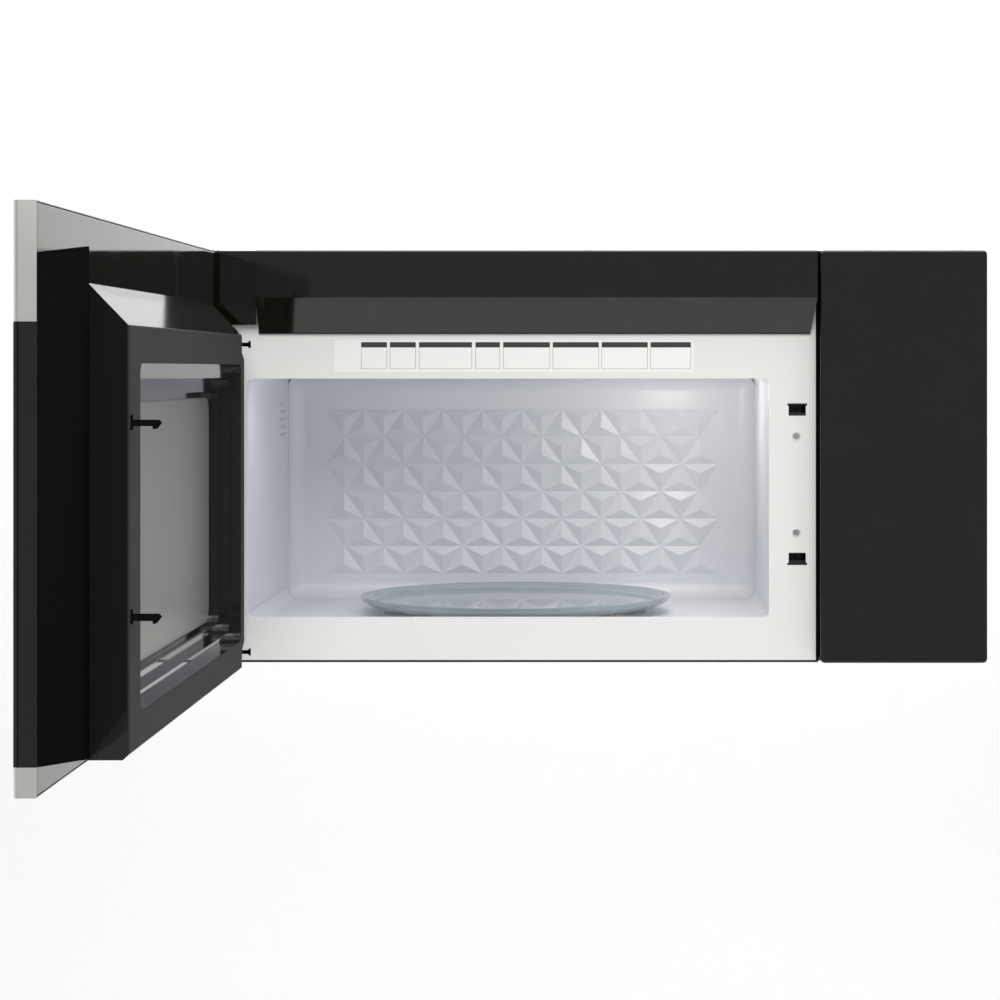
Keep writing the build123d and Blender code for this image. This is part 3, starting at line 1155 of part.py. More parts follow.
# =================================================================== turntable
RING_RADIUS = ROLLER_CIRCLE - ROLLER_WIDTH / 2 - 1.0 - RING_WIDTH / 2
ROLLER_TURNS = (90, 210, 330)
AXLE_CAP = 2.6
RIM_WALL = 4.0
tray_axis = Axis((TRAY_CENTRE_X, TRAY_CENTRE_Y, 0), (0, 0, 1))
tray_section = Plane(origin=(TRAY_CENTRE_X, TRAY_CENTRE_Y, 0), x_dir=(1, 0, 0), z_dir=(0, -1, 0))
LUG_CIRCLE = 11.0
LUG_RADIUS = 2.4
LUG_HEIGHT = 4.0

# Glass tray: flat plate with a raised rim and three small drive lugs underneath.
with BuildPart() as glass_tray:
    with BuildSketch(tray_section):
        with BuildLine():
            Polyline(
                (0, TRAY_BOTTOM),
                (TRAY_RADIUS - 12, TRAY_BOTTOM),
                (TRAY_RADIUS - 1.5, TRAY_BOTTOM + 5.5),
                (TRAY_RADIUS, TRAY_BOTTOM + TRAY_RIM - 1.0),
                (TRAY_RADIUS - 1.0, TRAY_BOTTOM + TRAY_RIM),
                (TRAY_RADIUS - RIM_WALL, TRAY_BOTTOM + TRAY_RIM - 0.5),
                (TRAY_RADIUS - RIM_WALL - 5, TRAY_BOTTOM + TRAY_THICK + 1.2),
                (TRAY_RADIUS - RIM_WALL - 10, TRAY_BOTTOM + TRAY_THICK),
                (0, TRAY_BOTTOM + TRAY_THICK),
                close=True,
            )
        make_face()
    revolve(axis=tray_axis)
    with BuildSketch(Plane.XY.offset(TRAY_BOTTOM)):
        with Locations((TRAY_CENTRE_X, TRAY_CENTRE_Y)):
            with PolarLocations(LUG_CIRCLE, 3):
                Circle(LUG_RADIUS)
    extrude(amount=-LUG_HEIGHT)
save(glass_tray, "glass_tray")

# Coupler: three arms between the tray's lugs, on the motor's shaft.
COUPLER_BOTTOM = RECESS_FLOOR + 1.0
ARM_WIDTH = 6.0
with BuildPart() as turntable_coupler:
    with BuildSketch(Plane.XY.offset(COUPLER_BOTTOM)):
        with Locations((TRAY_CENTRE_X, TRAY_CENTRE_Y)):
            Circle(6.5)
            with PolarLocations(0, 3, start_angle=60):
                SlotCenterPoint((COUPLER_RADIUS / 2 - ARM_WIDTH / 4, 0), (0, 0), ARM_WIDTH)
    extrude(amount=TRAY_BOTTOM - COUPLER_BOTTOM)
    with BuildSketch(Plane.XY.offset(COUPLER_BOTTOM)):
        with Locations((TRAY_CENTRE_X, TRAY_CENTRE_Y)):
            Circle(SHAFT_RADIUS)
    extrude(amount=-8)
save(turntable_coupler, "turntable_coupler")

# Roller ring with three axles that point outwards.
with BuildPart() as roller_ring:
    with BuildSketch(Plane.XY.offset(ROLLER_Z - RING_THICK / 2)):
        with Locations((TRAY_CENTRE_X, TRAY_CENTRE_Y)):
            Circle(RING_RADIUS + RING_WIDTH / 2)
            Circle(RING_RADIUS - RING_WIDTH / 2, mode=Mode.SUBTRACT)
            with PolarLocations(RING_RADIUS - 3, 3, start_angle=ROLLER_TURNS[0]):
                Circle(7)
    extrude(amount=RING_THICK)
    for turn in ROLLER_TURNS:
        outward = Vector(math.cos(math.radians(turn)), math.sin(math.radians(turn)), 0)
        hub = Vector(TRAY_CENTRE_X, TRAY_CENTRE_Y, ROLLER_Z) + outward * RING_RADIUS
        with BuildSketch(Plane(origin=hub, z_dir=outward)):
            Circle(AXLE_RADIUS)
        extrude(amount=ROLLER_CIRCLE - RING_RADIUS + ROLLER_WIDTH / 2 + 1.5)
        cap = hub + outward * (ROLLER_CIRCLE - RING_RADIUS + ROLLER_WIDTH / 2 + 0.3)
        with BuildSketch(Plane(origin=cap, z_dir=outward)):
            Circle(AXLE_CAP)
        extrude(amount=1.2)
save(roller_ring, "roller_ring")

for number, turn in enumerate(ROLLER_TURNS, 1):
    outward = Vector(math.cos(math.radians(turn)), math.sin(math.radians(turn)), 0)
    hub = Vector(TRAY_CENTRE_X, TRAY_CENTRE_Y, ROLLER_Z) + outward * ROLLER_CIRCLE
    with BuildPart() as roller:
        with BuildSketch(Plane(origin=hub, z_dir=outward)):
            Circle(ROLLER_RADIUS)
            Circle(AXLE_RADIUS + RUNNING_PLAY, mode=Mode.SUBTRACT)
        extrude(amount=ROLLER_WIDTH / 2, both=True)
        tread = roller.edges().filter_by(GeomType.CIRCLE)
        chamfer(tread.filter_by(lambda e: e.radius > ROLLER_RADIUS - 0.1), 0.8)
        # Six lightening holes between hub and tread.
        with BuildSketch(Plane(origin=hub, z_dir=outward)):
            with PolarLocations((ROLLER_RADIUS + AXLE_RADIUS) / 2, 6):
                Circle(0.9)
        extrude(amount=ROLLER_WIDTH, both=True, mode=Mode.SUBTRACT)
    save(roller, f"roller_{number}")

# Synchronous motor under the floor, hung by two ears.
MOTOR_TOP = RECESS_FLOOR - CAVITY_SHEET - SLIP
MOTOR_HEIGHT = 17.0
MOTOR_RADIUS = 25.0
with BuildPart() as turntable_motor:
    with BuildSketch(Plane.XY.offset(MOTOR_TOP)):
        with Locations((TRAY_CENTRE_X, TRAY_CENTRE_Y)):
            Circle(MOTOR_RADIUS)
    extrude(amount=-MOTOR_HEIGHT)
    fillet(turntable_motor.faces().sort_by(Axis.Z)[0].edges(), 1.5)
    with BuildSketch(Plane.XY.offset(MOTOR_TOP)):
        with Locations((TRAY_CENTRE_X, TRAY_CENTRE_Y)):
            SlotOverall(2 * MOTOR_RADIUS + 22, 12, rotation=90)
            with Locations((0, MOTOR_RADIUS - 2)):
                Rectangle(30, 8)
    extrude(amount=-1.5)
    with BuildSketch(Plane.XY.offset(MOTOR_TOP)):
        with Locations((TRAY_CENTRE_X, TRAY_CENTRE_Y)):
            Circle(SHAFT_RADIUS + RUNNING_PLAY)
            with GridLocations(0, 2 * MOTOR_RADIUS + 11, 1, 2):
                Circle(1.8)
    extrude(amount=-8, mode=Mode.SUBTRACT)
save(turntable_motor, "turntable_motor")

# =================================================================== light and underside
LAMP_BOX_LENGTH = 48.0
LAMP_BOX_WIDTH = 42.0
LAMP_BOX_HEIGHT = 34.0
LAMP_BASE = CAVITY_TOP + CAVITY_SHEET
with BuildPart() as cavity_lamp:
    with BuildSketch(Plane.XY.offset(LAMP_BASE)):
        with Locations((LAMP_X, LAMP_Y)):
            RectangleRounded(LAMP_BOX_LENGTH, LAMP_BOX_WIDTH, 3)
    extrude(amount=LAMP_BOX_HEIGHT)
    with BuildSketch(Plane.XY.offset(LAMP_BASE)):
        with Locations((LAMP_X, LAMP_Y)):
            RectangleRounded(LAMP_BOX_LENGTH - 3, LAMP_BOX_WIDTH - 3, 2)
    extrude(amount=LAMP_BOX_HEIGHT - 1.5, mode=Mode.SUBTRACT)
    # Bulb and its socket, lying across the box.
    with BuildSketch(side_plane(LAMP_X - LAMP_BOX_LENGTH / 2)):
        with Locations((LAMP_Y, LAMP_BASE + 17)):
            Circle(9)
    extrude(amount=14)
    with BuildSketch(side_plane(LAMP_X - LAMP_BOX_LENGTH / 2 + 14)):
        with Locations((LAMP_Y, LAMP_BASE + 17)):
            Circle(7.5)
    extrude(amount=22)
    fillet(cavity_lamp.edges().filter_by(GeomType.CIRCLE).sort_by(Axis.X)[-1], 5)
save(cavity_lamp, "cavity_lamp")

# Cooktop lamps: two bulbs in open reflectors over the lenses, and the glass lenses.
LENS_THICK = 3.0
REFLECTOR_HEIGHT = 17.0
REFLECTOR_WALL = 0.8
REFLECTOR_LENGTH = LENS_LENGTH + 6.0
REFLECTOR_WIDTH = LENS_WIDTH + 6.0
with BuildPart() as cooktop_lamps:
    with BuildSketch(Plane.XY.offset(BASE_TOP)):
        with Locations((0, LENS_Y)):
            with GridLocations(2 * LENS_X, 0, 2, 1):
                RectangleRounded(REFLECTOR_LENGTH, REFLECTOR_WIDTH, 4)
    extrude(amount=REFLECTOR_HEIGHT)
    with BuildSketch(Plane.XY.offset(BASE_TOP)):
        with Locations((0, LENS_Y)):
            with GridLocations(2 * LENS_X, 0, 2, 1):
                RectangleRounded(REFLECTOR_LENGTH - 2 * REFLECTOR_WALL, REFLECTOR_WIDTH - 2 * REFLECTOR_WALL, 3.2)
    extrude(amount=REFLECTOR_HEIGHT - REFLECTOR_WALL, mode=Mode.SUBTRACT)
    for side in (-1, 1):
        socket = side * LENS_X - LENS_LENGTH / 2 - 3
        with BuildSketch(side_plane(socket)):
            with Locations((LENS_Y, BASE_TOP + 10)):
                Circle(5.6)
        extrude(amount=30)
        with BuildSketch(side_plane(socket + 30)):
            with Locations((LENS_Y, BASE_TOP + 10)):
                Circle(4.6)
        extrude(amount=40)
save(cooktop_lamps, "cooktop_lamps")

with BuildPart() as cooktop_lenses:
    with BuildSketch(Plane.XY.offset(BASE_TOP)):
        with Locations((0, LENS_Y)):
            with GridLocations(2 * LENS_X, 0, 2, 1):
                RectangleRounded(LENS_LENGTH, LENS_WIDTH, 3)
    extrude(amount=LENS_THICK)
    with BuildSketch(Plane.XY.offset(BASE_TOP)):
        with Locations((0, LENS_Y)):
            with GridLocations(2 * LENS_X, 0, 2, 1):
                RectangleRounded(LENS_LENGTH - 10.6, LENS_WIDTH - 10.6, 3.7)
    extrude(amount=-SHEET)
save(cooktop_lenses, "cooktop_lenses")

# Grease filters: folded frame round a pierced mesh pack.
FILTER_RIM = 9.0
FILTER_SINK = 2.0  # mesh pack behind the frame on both sides
MESH_PITCH_X = 9.4
MESH_PITCH_Y = 10.6
MESH_HOLE = 3.4
MESH_COLUMNS = int((FILTER_LENGTH - 2 * FILTER_RIM) / MESH_PITCH_X)
MESH_ROWS = int((FILTER_WIDTH - 2 * FILTER_RIM) / MESH_PITCH_Y)
for name, filter_x in (("grease_filter_left", -FILTER_X), ("grease_filter_right", FILTER_X)):
    with BuildPart() as grease_filter:
        with BuildSketch(Plane.XY.offset(BASE_TOP)):
            with Locations((filter_x, FILTER_Y)):
                RectangleRounded(FILTER_LENGTH, FILTER_WIDTH, 4)
        extrude(amount=FILTER_THICK)
        with BuildSketch(Plane.XY.offset(BASE_TOP)):
            with Locations((filter_x, FILTER_Y)):
                RectangleRounded(FILTER_LENGTH - 2 * FILTER_RIM, FILTER_WIDTH - 2 * FILTER_RIM, 3)
        extrude(amount=FILTER_SINK, mode=Mode.SUBTRACT)
        with BuildSketch(Plane.XY.offset(BASE_TOP + FILTER_THICK)):
            with Locations((filter_x, FILTER_Y)):
                RectangleRounded(FILTER_LENGTH - 2 * FILTER_RIM, FILTER_WIDTH - 2 * FILTER_RIM, 3)
        extrude(amount=-FILTER_SINK, mode=Mode.SUBTRACT)
        with BuildSketch(Plane.XY.offset(BASE_TOP)):
            with Locations((filter_x, FILTER_Y)):
                with GridLocations(MESH_PITCH_X, MESH_PITCH_Y, MESH_COLUMNS, MESH_ROWS):
                    Circle(MESH_HOLE)
        extrude(amount=FILTER_THICK, mode=Mode.SUBTRACT)
    save(grease_filter, name)

# =================================================================== hinges
EYE_SKIN = 0.2  # plate's eye to the notch in the door
ARM_RIGHT = 5.6
ARM_LEFT = HINGE_EYE
ARM_NOSE = 1.0  # broad side of the arm carried past the axis
ARM_GAP = 0.6  # round the arm in the door
FLANGE_THICK = 2.8
PLATE_LEFT = -HALF_WIDTH + SHEET + 5.0
PLATE_RIGHT = CAVITY_LEFT - CAVITY_SHEET - 3.0
PLATE_REAR = FRAME_BACK + 34.0
for name, plate_z, pin_turn in (("upper_hinge", HINGE_UPPER_Z, -1), ("lower_hinge", HINGE_LOWER_Z, 1)):
    with BuildPart() as hinge:
        # Plate: rounded eye, narrow arm through the slit, broad foot inside.
        with BuildSketch(Plane.XY.offset(plate_z - HINGE_PLATE / 2)):
            with Locations((PIVOT_X, PIVOT_Y)):
                Circle(HINGE_EYE)
            span(PIVOT_X - ARM_LEFT, PIVOT_X, PIVOT_Y, FRAME_BACK + 1)
            span(PIVOT_X, PIVOT_X + ARM_RIGHT, PIVOT_Y - ARM_NOSE, FRAME_BACK + 1)
            span(PLATE_LEFT, PLATE_RIGHT, FRAME_BACK + SLIP, PLATE_REAR)
        extrude(amount=HINGE_PLATE)
        # Flange that bears on the back of the face frame, with two bolt holes.
        with BuildSketch(front_plane(FRAME_BACK + SLIP + FLANGE_THICK)):
            span(PLATE_LEFT, PLATE_RIGHT, plate_z, plate_z + HINGE_FLANGE)
            with Locations(((PLATE_LEFT + PLATE_RIGHT) / 2, plate_z + HINGE_FLANGE / 2 + 1)):
                with GridLocations(22, 0, 2, 1):
                    Circle(2.6, mode=Mode.SUBTRACT)
        extrude(amount=FLANGE_THICK)
        with BuildSketch(Plane.XY.offset(plate_z + pin_turn * HINGE_PLATE / 2)):
            with Locations((PIVOT_X, PIVOT_Y)):
                Circle(HINGE_PIN_RADIUS)
        extrude(amount=pin_turn * HINGE_PIN_LENGTH)
        pin_rims = hinge.edges().filter_by(GeomType.CIRCLE).filter_by(lambda e: e.radius == HINGE_PIN_RADIUS)
        fillet(pin_rims.sort_by(Axis.Z)[0 if pin_turn < 0 else -1], 1.0)
    save(hinge, name)

# =================================================================== door
BAND_SEAT = 0.2
FRAME_END = DOOR_FREE - BAND_SHEET - BAND_SEAT
FRAME_DOOR_TOP = DOOR_TOP - BAND_SHEET - BAND_SEAT
FRAME_DOOR_BOTTOM = DOOR_BOTTOM + BAND_SHEET + BAND_SEAT
FACE_BACK = DOOR_THICK - DOOR_WALL
NOTCH_HALF = HINGE_PLATE / 2 + HINGE_PLAY
PIN_DEPTH = HINGE_PIN_LENGTH + 1.0
RIB = 4.0  # between two pockets
POCKET_CORNER = 3.0
BAND_POCKETS = 6
BAND_PITCH = (FRAME_END - 13.3) / BAND_POCKETS
BAND_MID_U = (FRAME_END + 8) / 2
WINDOW_POCKETS = 4
WINDOW_PITCH = (WINDOW_FREE - WINDOW_HINGE + 20.0) / WINDOW_POCKETS
WINDOW_MID_U = (WINDOW_HINGE + WINDOW_FREE) / 2
STILE_PITCH = (WINDOW_TOP - WINDOW_BOTTOM - 9.0) / 2
with BuildPart() as door_frame:
    with BuildSketch(door_face(DOOR_THICK)):
        span(-DOOR_BACK, FRAME_END, FRAME_DOOR_BOTTOM, FRAME_DOOR_TOP)
    extrude(amount=DOOR_THICK - HINGE_SKIN)
    fillet(door_frame.edges().filter_by(Axis.Z).group_by(Axis.Y)[0].sort_by(Axis.X)[0], DOOR_CORNER - 1)
    fillet(door_frame.faces().sort_by(Axis.X)[-1].edges(), 1.5)
    # Seat of the glass, and the stile beside it flush with the bands.
    with BuildSketch(door_face(0)):
        span(HINGE_STILE, DOOR_FREE + 1, GLASS_BOTTOM - 0.2, GLASS_TOP + 0.2)
    extrude(amount=-GLASS_THICK - 0.2, mode=Mode.SUBTRACT)
    with BuildSketch(door_face(HINGE_SKIN)):
        span(-DOOR_BACK, HINGE_STILE, GLASS_BOTTOM + 0.2, GLASS_TOP - 0.2)
    extrude(amount=HINGE_SKIN)
    # Pockets behind the bands and the glass, with ribs left between them.
    with BuildSketch(door_face(0)):
        for low, high, margin in (
            (GLASS_TOP, FRAME_DOOR_TOP, 8.5),
            (FRAME_DOOR_BOTTOM, GLASS_BOTTOM, 7.5),
        ):
            with Locations((BAND_MID_U, (low + high) / 2)):
                with GridLocations(BAND_PITCH, 0, BAND_POCKETS, 1):
                    RectangleRounded(BAND_PITCH - RIB, high - low - margin, POCKET_CORNER)
        for low, high, margin in (
            (WINDOW_TOP, GLASS_TOP, 10.0),
            (GLASS_BOTTOM, WINDOW_BOTTOM, 9.5),
        ):
            with Locations((WINDOW_MID_U, (low + high) / 2)):
                with GridLocations(WINDOW_PITCH, 0, WINDOW_POCKETS, 1):
                    RectangleRounded(WINDOW_PITCH - RIB, high - low - margin, POCKET_CORNER)
        with Locations(((HINGE_STILE + WINDOW_HINGE) / 2 + 1, (WINDOW_TOP + WINDOW_BOTTOM) / 2)):
            with GridLocations(0, STILE_PITCH, 1, 2):
                RectangleRounded(WINDOW_HINGE - HINGE_STILE - 10, STILE_PITCH - RIB, POCKET_CORNER)
        span(WINDOW_FREE + 16, FRAME_END - DOOR_WALL, GLASS_BOTTOM + 5, GLASS_TOP - 5, 3)
    extrude(amount=-FACE_BACK, mode=Mode.SUBTRACT)
    with BuildSketch(door_face(0)):
        span(WINDOW_HINGE, WINDOW_FREE, WINDOW_BOTTOM, WINDOW_TOP, WINDOW_CORNER)
    extrude(amount=-2 * DOOR_THICK, mode=Mode.SUBTRACT)
    # Hinge notches and the bores that carry the bushings.
    for plate_z, pin_turn in ((HINGE_UPPER_Z, -1), (HINGE_LOWER_Z, 1)):
        with BuildSketch(Plane.XY.offset(plate_z)):
            with Locations((PIVOT_X, PIVOT_Y)):
                Circle(HINGE_EYE + EYE_SKIN)
            span(
                PIVOT_X - ARM_NOSE - ARM_GAP,
                DOOR_X + DOOR_THICK + 1,
                PIVOT_Y - ARM_RIGHT - ARM_GAP,
                PIVOT_Y + DOOR_BACK + 1,
            )
            span(DOOR_X + HINGE_SKIN, PIVOT_X, PIVOT_Y, PIVOT_Y + DOOR_BACK + 1)
        extrude(amount=NOTCH_HALF, both=True, mode=Mode.SUBTRACT)
        with BuildSketch(Plane.XY.offset(plate_z)):
            with Locations((PIVOT_X, PIVOT_Y)):
                Circle(BUSH_RADIUS)
        extrude(amount=pin_turn * (HINGE_PLATE / 2 + PIN_DEPTH), mode=Mode.SUBTRACT)
save(door_frame, "door_frame")

# Bushings pressed into the door's bores.
with BuildPart() as door_bushings:
    for plate_z, pin_turn in ((HINGE_UPPER_Z, -1), (HINGE_LOWER_Z, 1)):
        with BuildSketch(Plane.XY.offset(plate_z + pin_turn * (HINGE_PLATE / 2 + 0.15))):
            with Locations((PIVOT_X, PIVOT_Y)):
                Circle(BUSH_RADIUS)
                Circle(HINGE_PIN_RADIUS + RUNNING_PLAY, mode=Mode.SUBTRACT)
        extrude(amount=pin_turn * BUSH_LENGTH)
save(door_bushings, "door_bushings")

# Front glass with its rounded free edge.
with BuildPart() as door_glass:
    with BuildSketch(door_face(GLASS_THICK)):
        span(HINGE_STILE + 0.2, DOOR_FREE, GLASS_BOTTOM, GLASS_TOP)
    extrude(amount=GLASS_THICK)
    fillet(door_glass.edges().filter_by(Axis.Z).group_by(Axis.Y)[0].sort_by(Axis.X)[0], 2.4)
save(door_glass, "door_glass")

# Stainless bands: each sheet wraps the free end and folds over the door's top or bottom edge.
for name, low, high, fold in (
    ("door_top_band", GLASS_TOP + 0.1, DOOR_TOP, DOOR_TOP - BAND_SHEET),
    ("door_bottom_band", DOOR_BOTTOM, GLASS_BOTTOM - 0.1, DOOR_BOTTOM),
):
    with BuildPart() as band:
        with BuildSketch(door_level(low)):
            with BuildLine():
                FilletPolyline(
                    (-DOOR_BACK, 0),
                    (DOOR_FREE, 0),
                    (DOOR_FREE, DOOR_THICK),
                    radius=DOOR_CORNER,
                )
                offset(amount=BAND_SHEET, side=Side.LEFT)
            make_face()
        extrude(amount=high - low)
        with BuildSketch(door_level(fold)):
            with BuildLine():
                FilletPolyline(
                    (-DOOR_BACK, 0),
                    (DOOR_FREE, 0),
                    (DOOR_FREE, DOOR_THICK),
                    radius=DOOR_CORNER,
                )
                Polyline((DOOR_FREE, DOOR_THICK), (-DOOR_BACK, DOOR_THICK), (-DOOR_BACK, 0))
            make_face()
        extrude(amount=BAND_SHEET)
    save(band, name)

# Choke box: its recess narrows in nested steps from the rim down to the window.
CHOKE_FOOT = CHOKE_BOTTOM - 4.5
CHOKE_FOOT_DEPTH = 41.0
CHOKE_CUT = 8.0  # the hinge side is cut back this far past the axis, beside the hinges
CUT_RUN = 7.0
CUT_HEIGHT = 22.0
NEST_LEVELS = (36.0, 28.0)
LEDGE = CHOKE_WALL
nest = []
for step in range(3):
    share = step / 3
    nest.append(
        (
            RECESS_HINGE + (WINDOW_HINGE - RECESS_HINGE) * share,
            RECESS_FREE + (WINDOW_FREE - RECESS_FREE) * share,
            RECESS_BOTTOM + (WINDOW_BOTTOM - RECESS_BOTTOM) * share,
            RECESS_TOP + (WINDOW_TOP - RECESS_TOP) * share,
        )
    )
GLASS_POCKET = 7.0
PLATE_ROOM = DOOR_THICK + 1.4
with BuildPart() as choke_core:
    with BuildSketch(door_end(CHOKE_HINGE + CHOKE_WALL)):
        with BuildLine():
            Polyline(
                (DOOR_THICK, CHOKE_FOOT + CHOKE_WALL),
                (CHOKE_FOOT_DEPTH - 1, CHOKE_FOOT + CHOKE_WALL),
                (CHOKE_DEPTH - CHOKE_WALL, CHOKE_BOTTOM + CHOKE_WALL),
                (CHOKE_DEPTH - CHOKE_WALL, CHOKE_TOP - 1),
                (DOOR_THICK, CHOKE_TOP_BASE - CHOKE_WALL * 1.5),
                close=True,
            )
        make_face()
    extrude(amount=CHOKE_FREE - CHOKE_HINGE - 2 * CHOKE_WALL)
    with BuildSketch(door_face(DOOR_THICK)):
        with BuildLine():
            Polyline(
                (CHOKE_HINGE, CHOKE_TOP_BASE),
                (CHOKE_HINGE, CHOKE_TOP - CUT_HEIGHT - CHOKE_WALL),
                (CHOKE_HINGE + CHOKE_WALL, CHOKE_TOP - CUT_HEIGHT - CHOKE_WALL),
                (CHOKE_CUT + CHOKE_WALL, CHOKE_TOP - CUT_HEIGHT - CHOKE_WALL + CUT_RUN),
                (CHOKE_CUT + CHOKE_WALL, CHOKE_TOP_BASE),
                close=True,
            )
        make_face()
        with BuildLine():
            Polyline(
                (CHOKE_HINGE, CHOKE_FOOT),
                (CHOKE_HINGE, CHOKE_BOTTOM + CUT_HEIGHT + CHOKE_WALL),
                (CHOKE_HINGE + CHOKE_WALL, CHOKE_BOTTOM + CUT_HEIGHT + CHOKE_WALL),
                (CHOKE_CUT + CHOKE_WALL, CHOKE_BOTTOM + CUT_HEIGHT + CHOKE_WALL - CUT_RUN),
                (CHOKE_CUT + CHOKE_WALL, CHOKE_FOOT),
                close=True,
            )
        make_face()
    extrude(amount=-CHOKE_DEPTH, mode=Mode.SUBTRACT)
    # Walls and ledges of the nested recess stay solid.
    for (u0, u1, z0, z1), level in zip(nest, (NEST_LEVELS[0], NEST_LEVELS[1], DOOR_THICK + 1)):
        with BuildSketch(door_face(level - LEDGE)):
            span(u0 - LEDGE, u1 + LEDGE, z0 - LEDGE, z1 + LEDGE, RECESS_CORNER + LEDGE)
        extrude(amount=-CHOKE_DEPTH, mode=Mode.SUBTRACT)
with BuildPart() as choke_cover:
    with BuildSketch(door_end(CHOKE_HINGE)):
        with BuildLine():
            Polyline(
                (DOOR_THICK, CHOKE_FOOT),
                (CHOKE_FOOT_DEPTH, CHOKE_FOOT),
                (CHOKE_DEPTH, CHOKE_BOTTOM),
                (CHOKE_DEPTH, CHOKE_TOP),
                (DOOR_THICK, CHOKE_TOP_BASE),
                close=True,
            )
        make_face()
    extrude(amount=CHOKE_FREE - CHOKE_HINGE)
    with BuildSketch(door_face(DOOR_THICK)):
        with BuildLine():
            Polyline(
                (CHOKE_HINGE - 1, CHOKE_TOP_BASE + 1),
                (CHOKE_HINGE - 1, CHOKE_TOP - CUT_HEIGHT),
                (CHOKE_HINGE, CHOKE_TOP - CUT_HEIGHT),
                (CHOKE_CUT, CHOKE_TOP - CUT_HEIGHT + CUT_RUN),
                (CHOKE_CUT, CHOKE_TOP_BASE + 1),
                close=True,
            )
        make_face()
        with BuildLine():
            Polyline(
                (CHOKE_HINGE - 1, CHOKE_FOOT - 1),
                (CHOKE_HINGE - 1, CHOKE_BOTTOM + CUT_HEIGHT),
                (CHOKE_HINGE, CHOKE_BOTTOM + CUT_HEIGHT),
                (CHOKE_CUT, CHOKE_BOTTOM + CUT_HEIGHT - CUT_RUN),
                (CHOKE_CUT, CHOKE_FOOT - 1),
                close=True,
            )
        make_face()
    extrude(amount=-CHOKE_DEPTH, mode=Mode.SUBTRACT)
    fillet(choke_cover.faces().sort_by(Axis.X)[-1].edges(), 1.4)
    for (u0, u1, z0, z1), level in zip(nest, (NEST_LEVELS[0], NEST_LEVELS[1], WINDOW_DEPTH)):
        with BuildSketch(door_face(level)):
            span(u0, u1, z0, z1, RECESS_CORNER)
        extrude(amount=-CHOKE_DEPTH, mode=Mode.SUBTRACT)
    with BuildSketch(door_face(DOOR_THICK)):
        span(WINDOW_HINGE, WINDOW_FREE, WINDOW_BOTTOM, WINDOW_TOP, WINDOW_CORNER)
    extrude(amount=-CHOKE_DEPTH, mode=Mode.SUBTRACT)
    add(choke_core.part, mode=Mode.SUBTRACT)
    # Room for the choke's base plate, then for the inner glass.
    with BuildSketch(door_face(PLATE_ROOM)):
        span(
            CHOKE_CUT + CHOKE_WALL,
            CHOKE_FREE - CHOKE_WALL,
            CHOKE_FOOT + CHOKE_WALL,
            CHOKE_TOP_BASE - 2 * CHOKE_WALL,
        )
        span(CHOKE_HINGE + CHOKE_WALL, CHOKE_CUT + 4, CHOKE_BOTTOM + 25, CHOKE_TOP - 27)
    extrude(amount=PLATE_ROOM - DOOR_THICK + 1, mode=Mode.SUBTRACT)
    with BuildSketch(door_face(WINDOW_DEPTH)):
        span(
            WINDOW_HINGE - GLASS_POCKET,
            WINDOW_FREE + GLASS_POCKET,
            WINDOW_BOTTOM - GLASS_POCKET,
            WINDOW_TOP + GLASS_POCKET,
            WINDOW_CORNER + GLASS_POCKET,
        )
    extrude(amount=WINDOW_DEPTH - DOOR_THICK, mode=Mode.SUBTRACT)
    # Slots for the latch hooks, pegs that guide the lever and a seat for its spring.
    with BuildSketch(door_face(CHOKE_DEPTH + 1)):
        for z in LATCH_Z:
            span(
                LATCH_U - HOOK_WIDTH / 2 - 0.8,
                LATCH_U + HOOK_WIDTH / 2 + 0.8,
                z - HOOK_HEIGHT / 2 - HOOK_BARB - 0.8,
                z + HOOK_HEIGHT / 2 + HOOK_TRAVEL + 0.8,
                0,
                Mode.ADD,
            )
    extrude(amount=CHOKE_WALL + 2, mode=Mode.SUBTRACT)
    with BuildSketch(door_end(CHOKE_FREE - CHOKE_WALL)):
        with Locations(*[(LEVER_DEPTH, z) for z in PEG_Z]):
            Circle(PEG_RADIUS)
    extrude(amount=LATCH_U - CHOKE_FREE + CHOKE_WALL - LATCH_PLATE)
    with BuildSketch(door_level(SPRING_SEAT)):
        span(LATCH_U - 6, CHOKE_FREE - CHOKE_WALL / 2, LEVER_DEPTH - 6, LEVER_DEPTH + 6)
    extrude(amount=2)
save(choke_cover, "choke_cover")

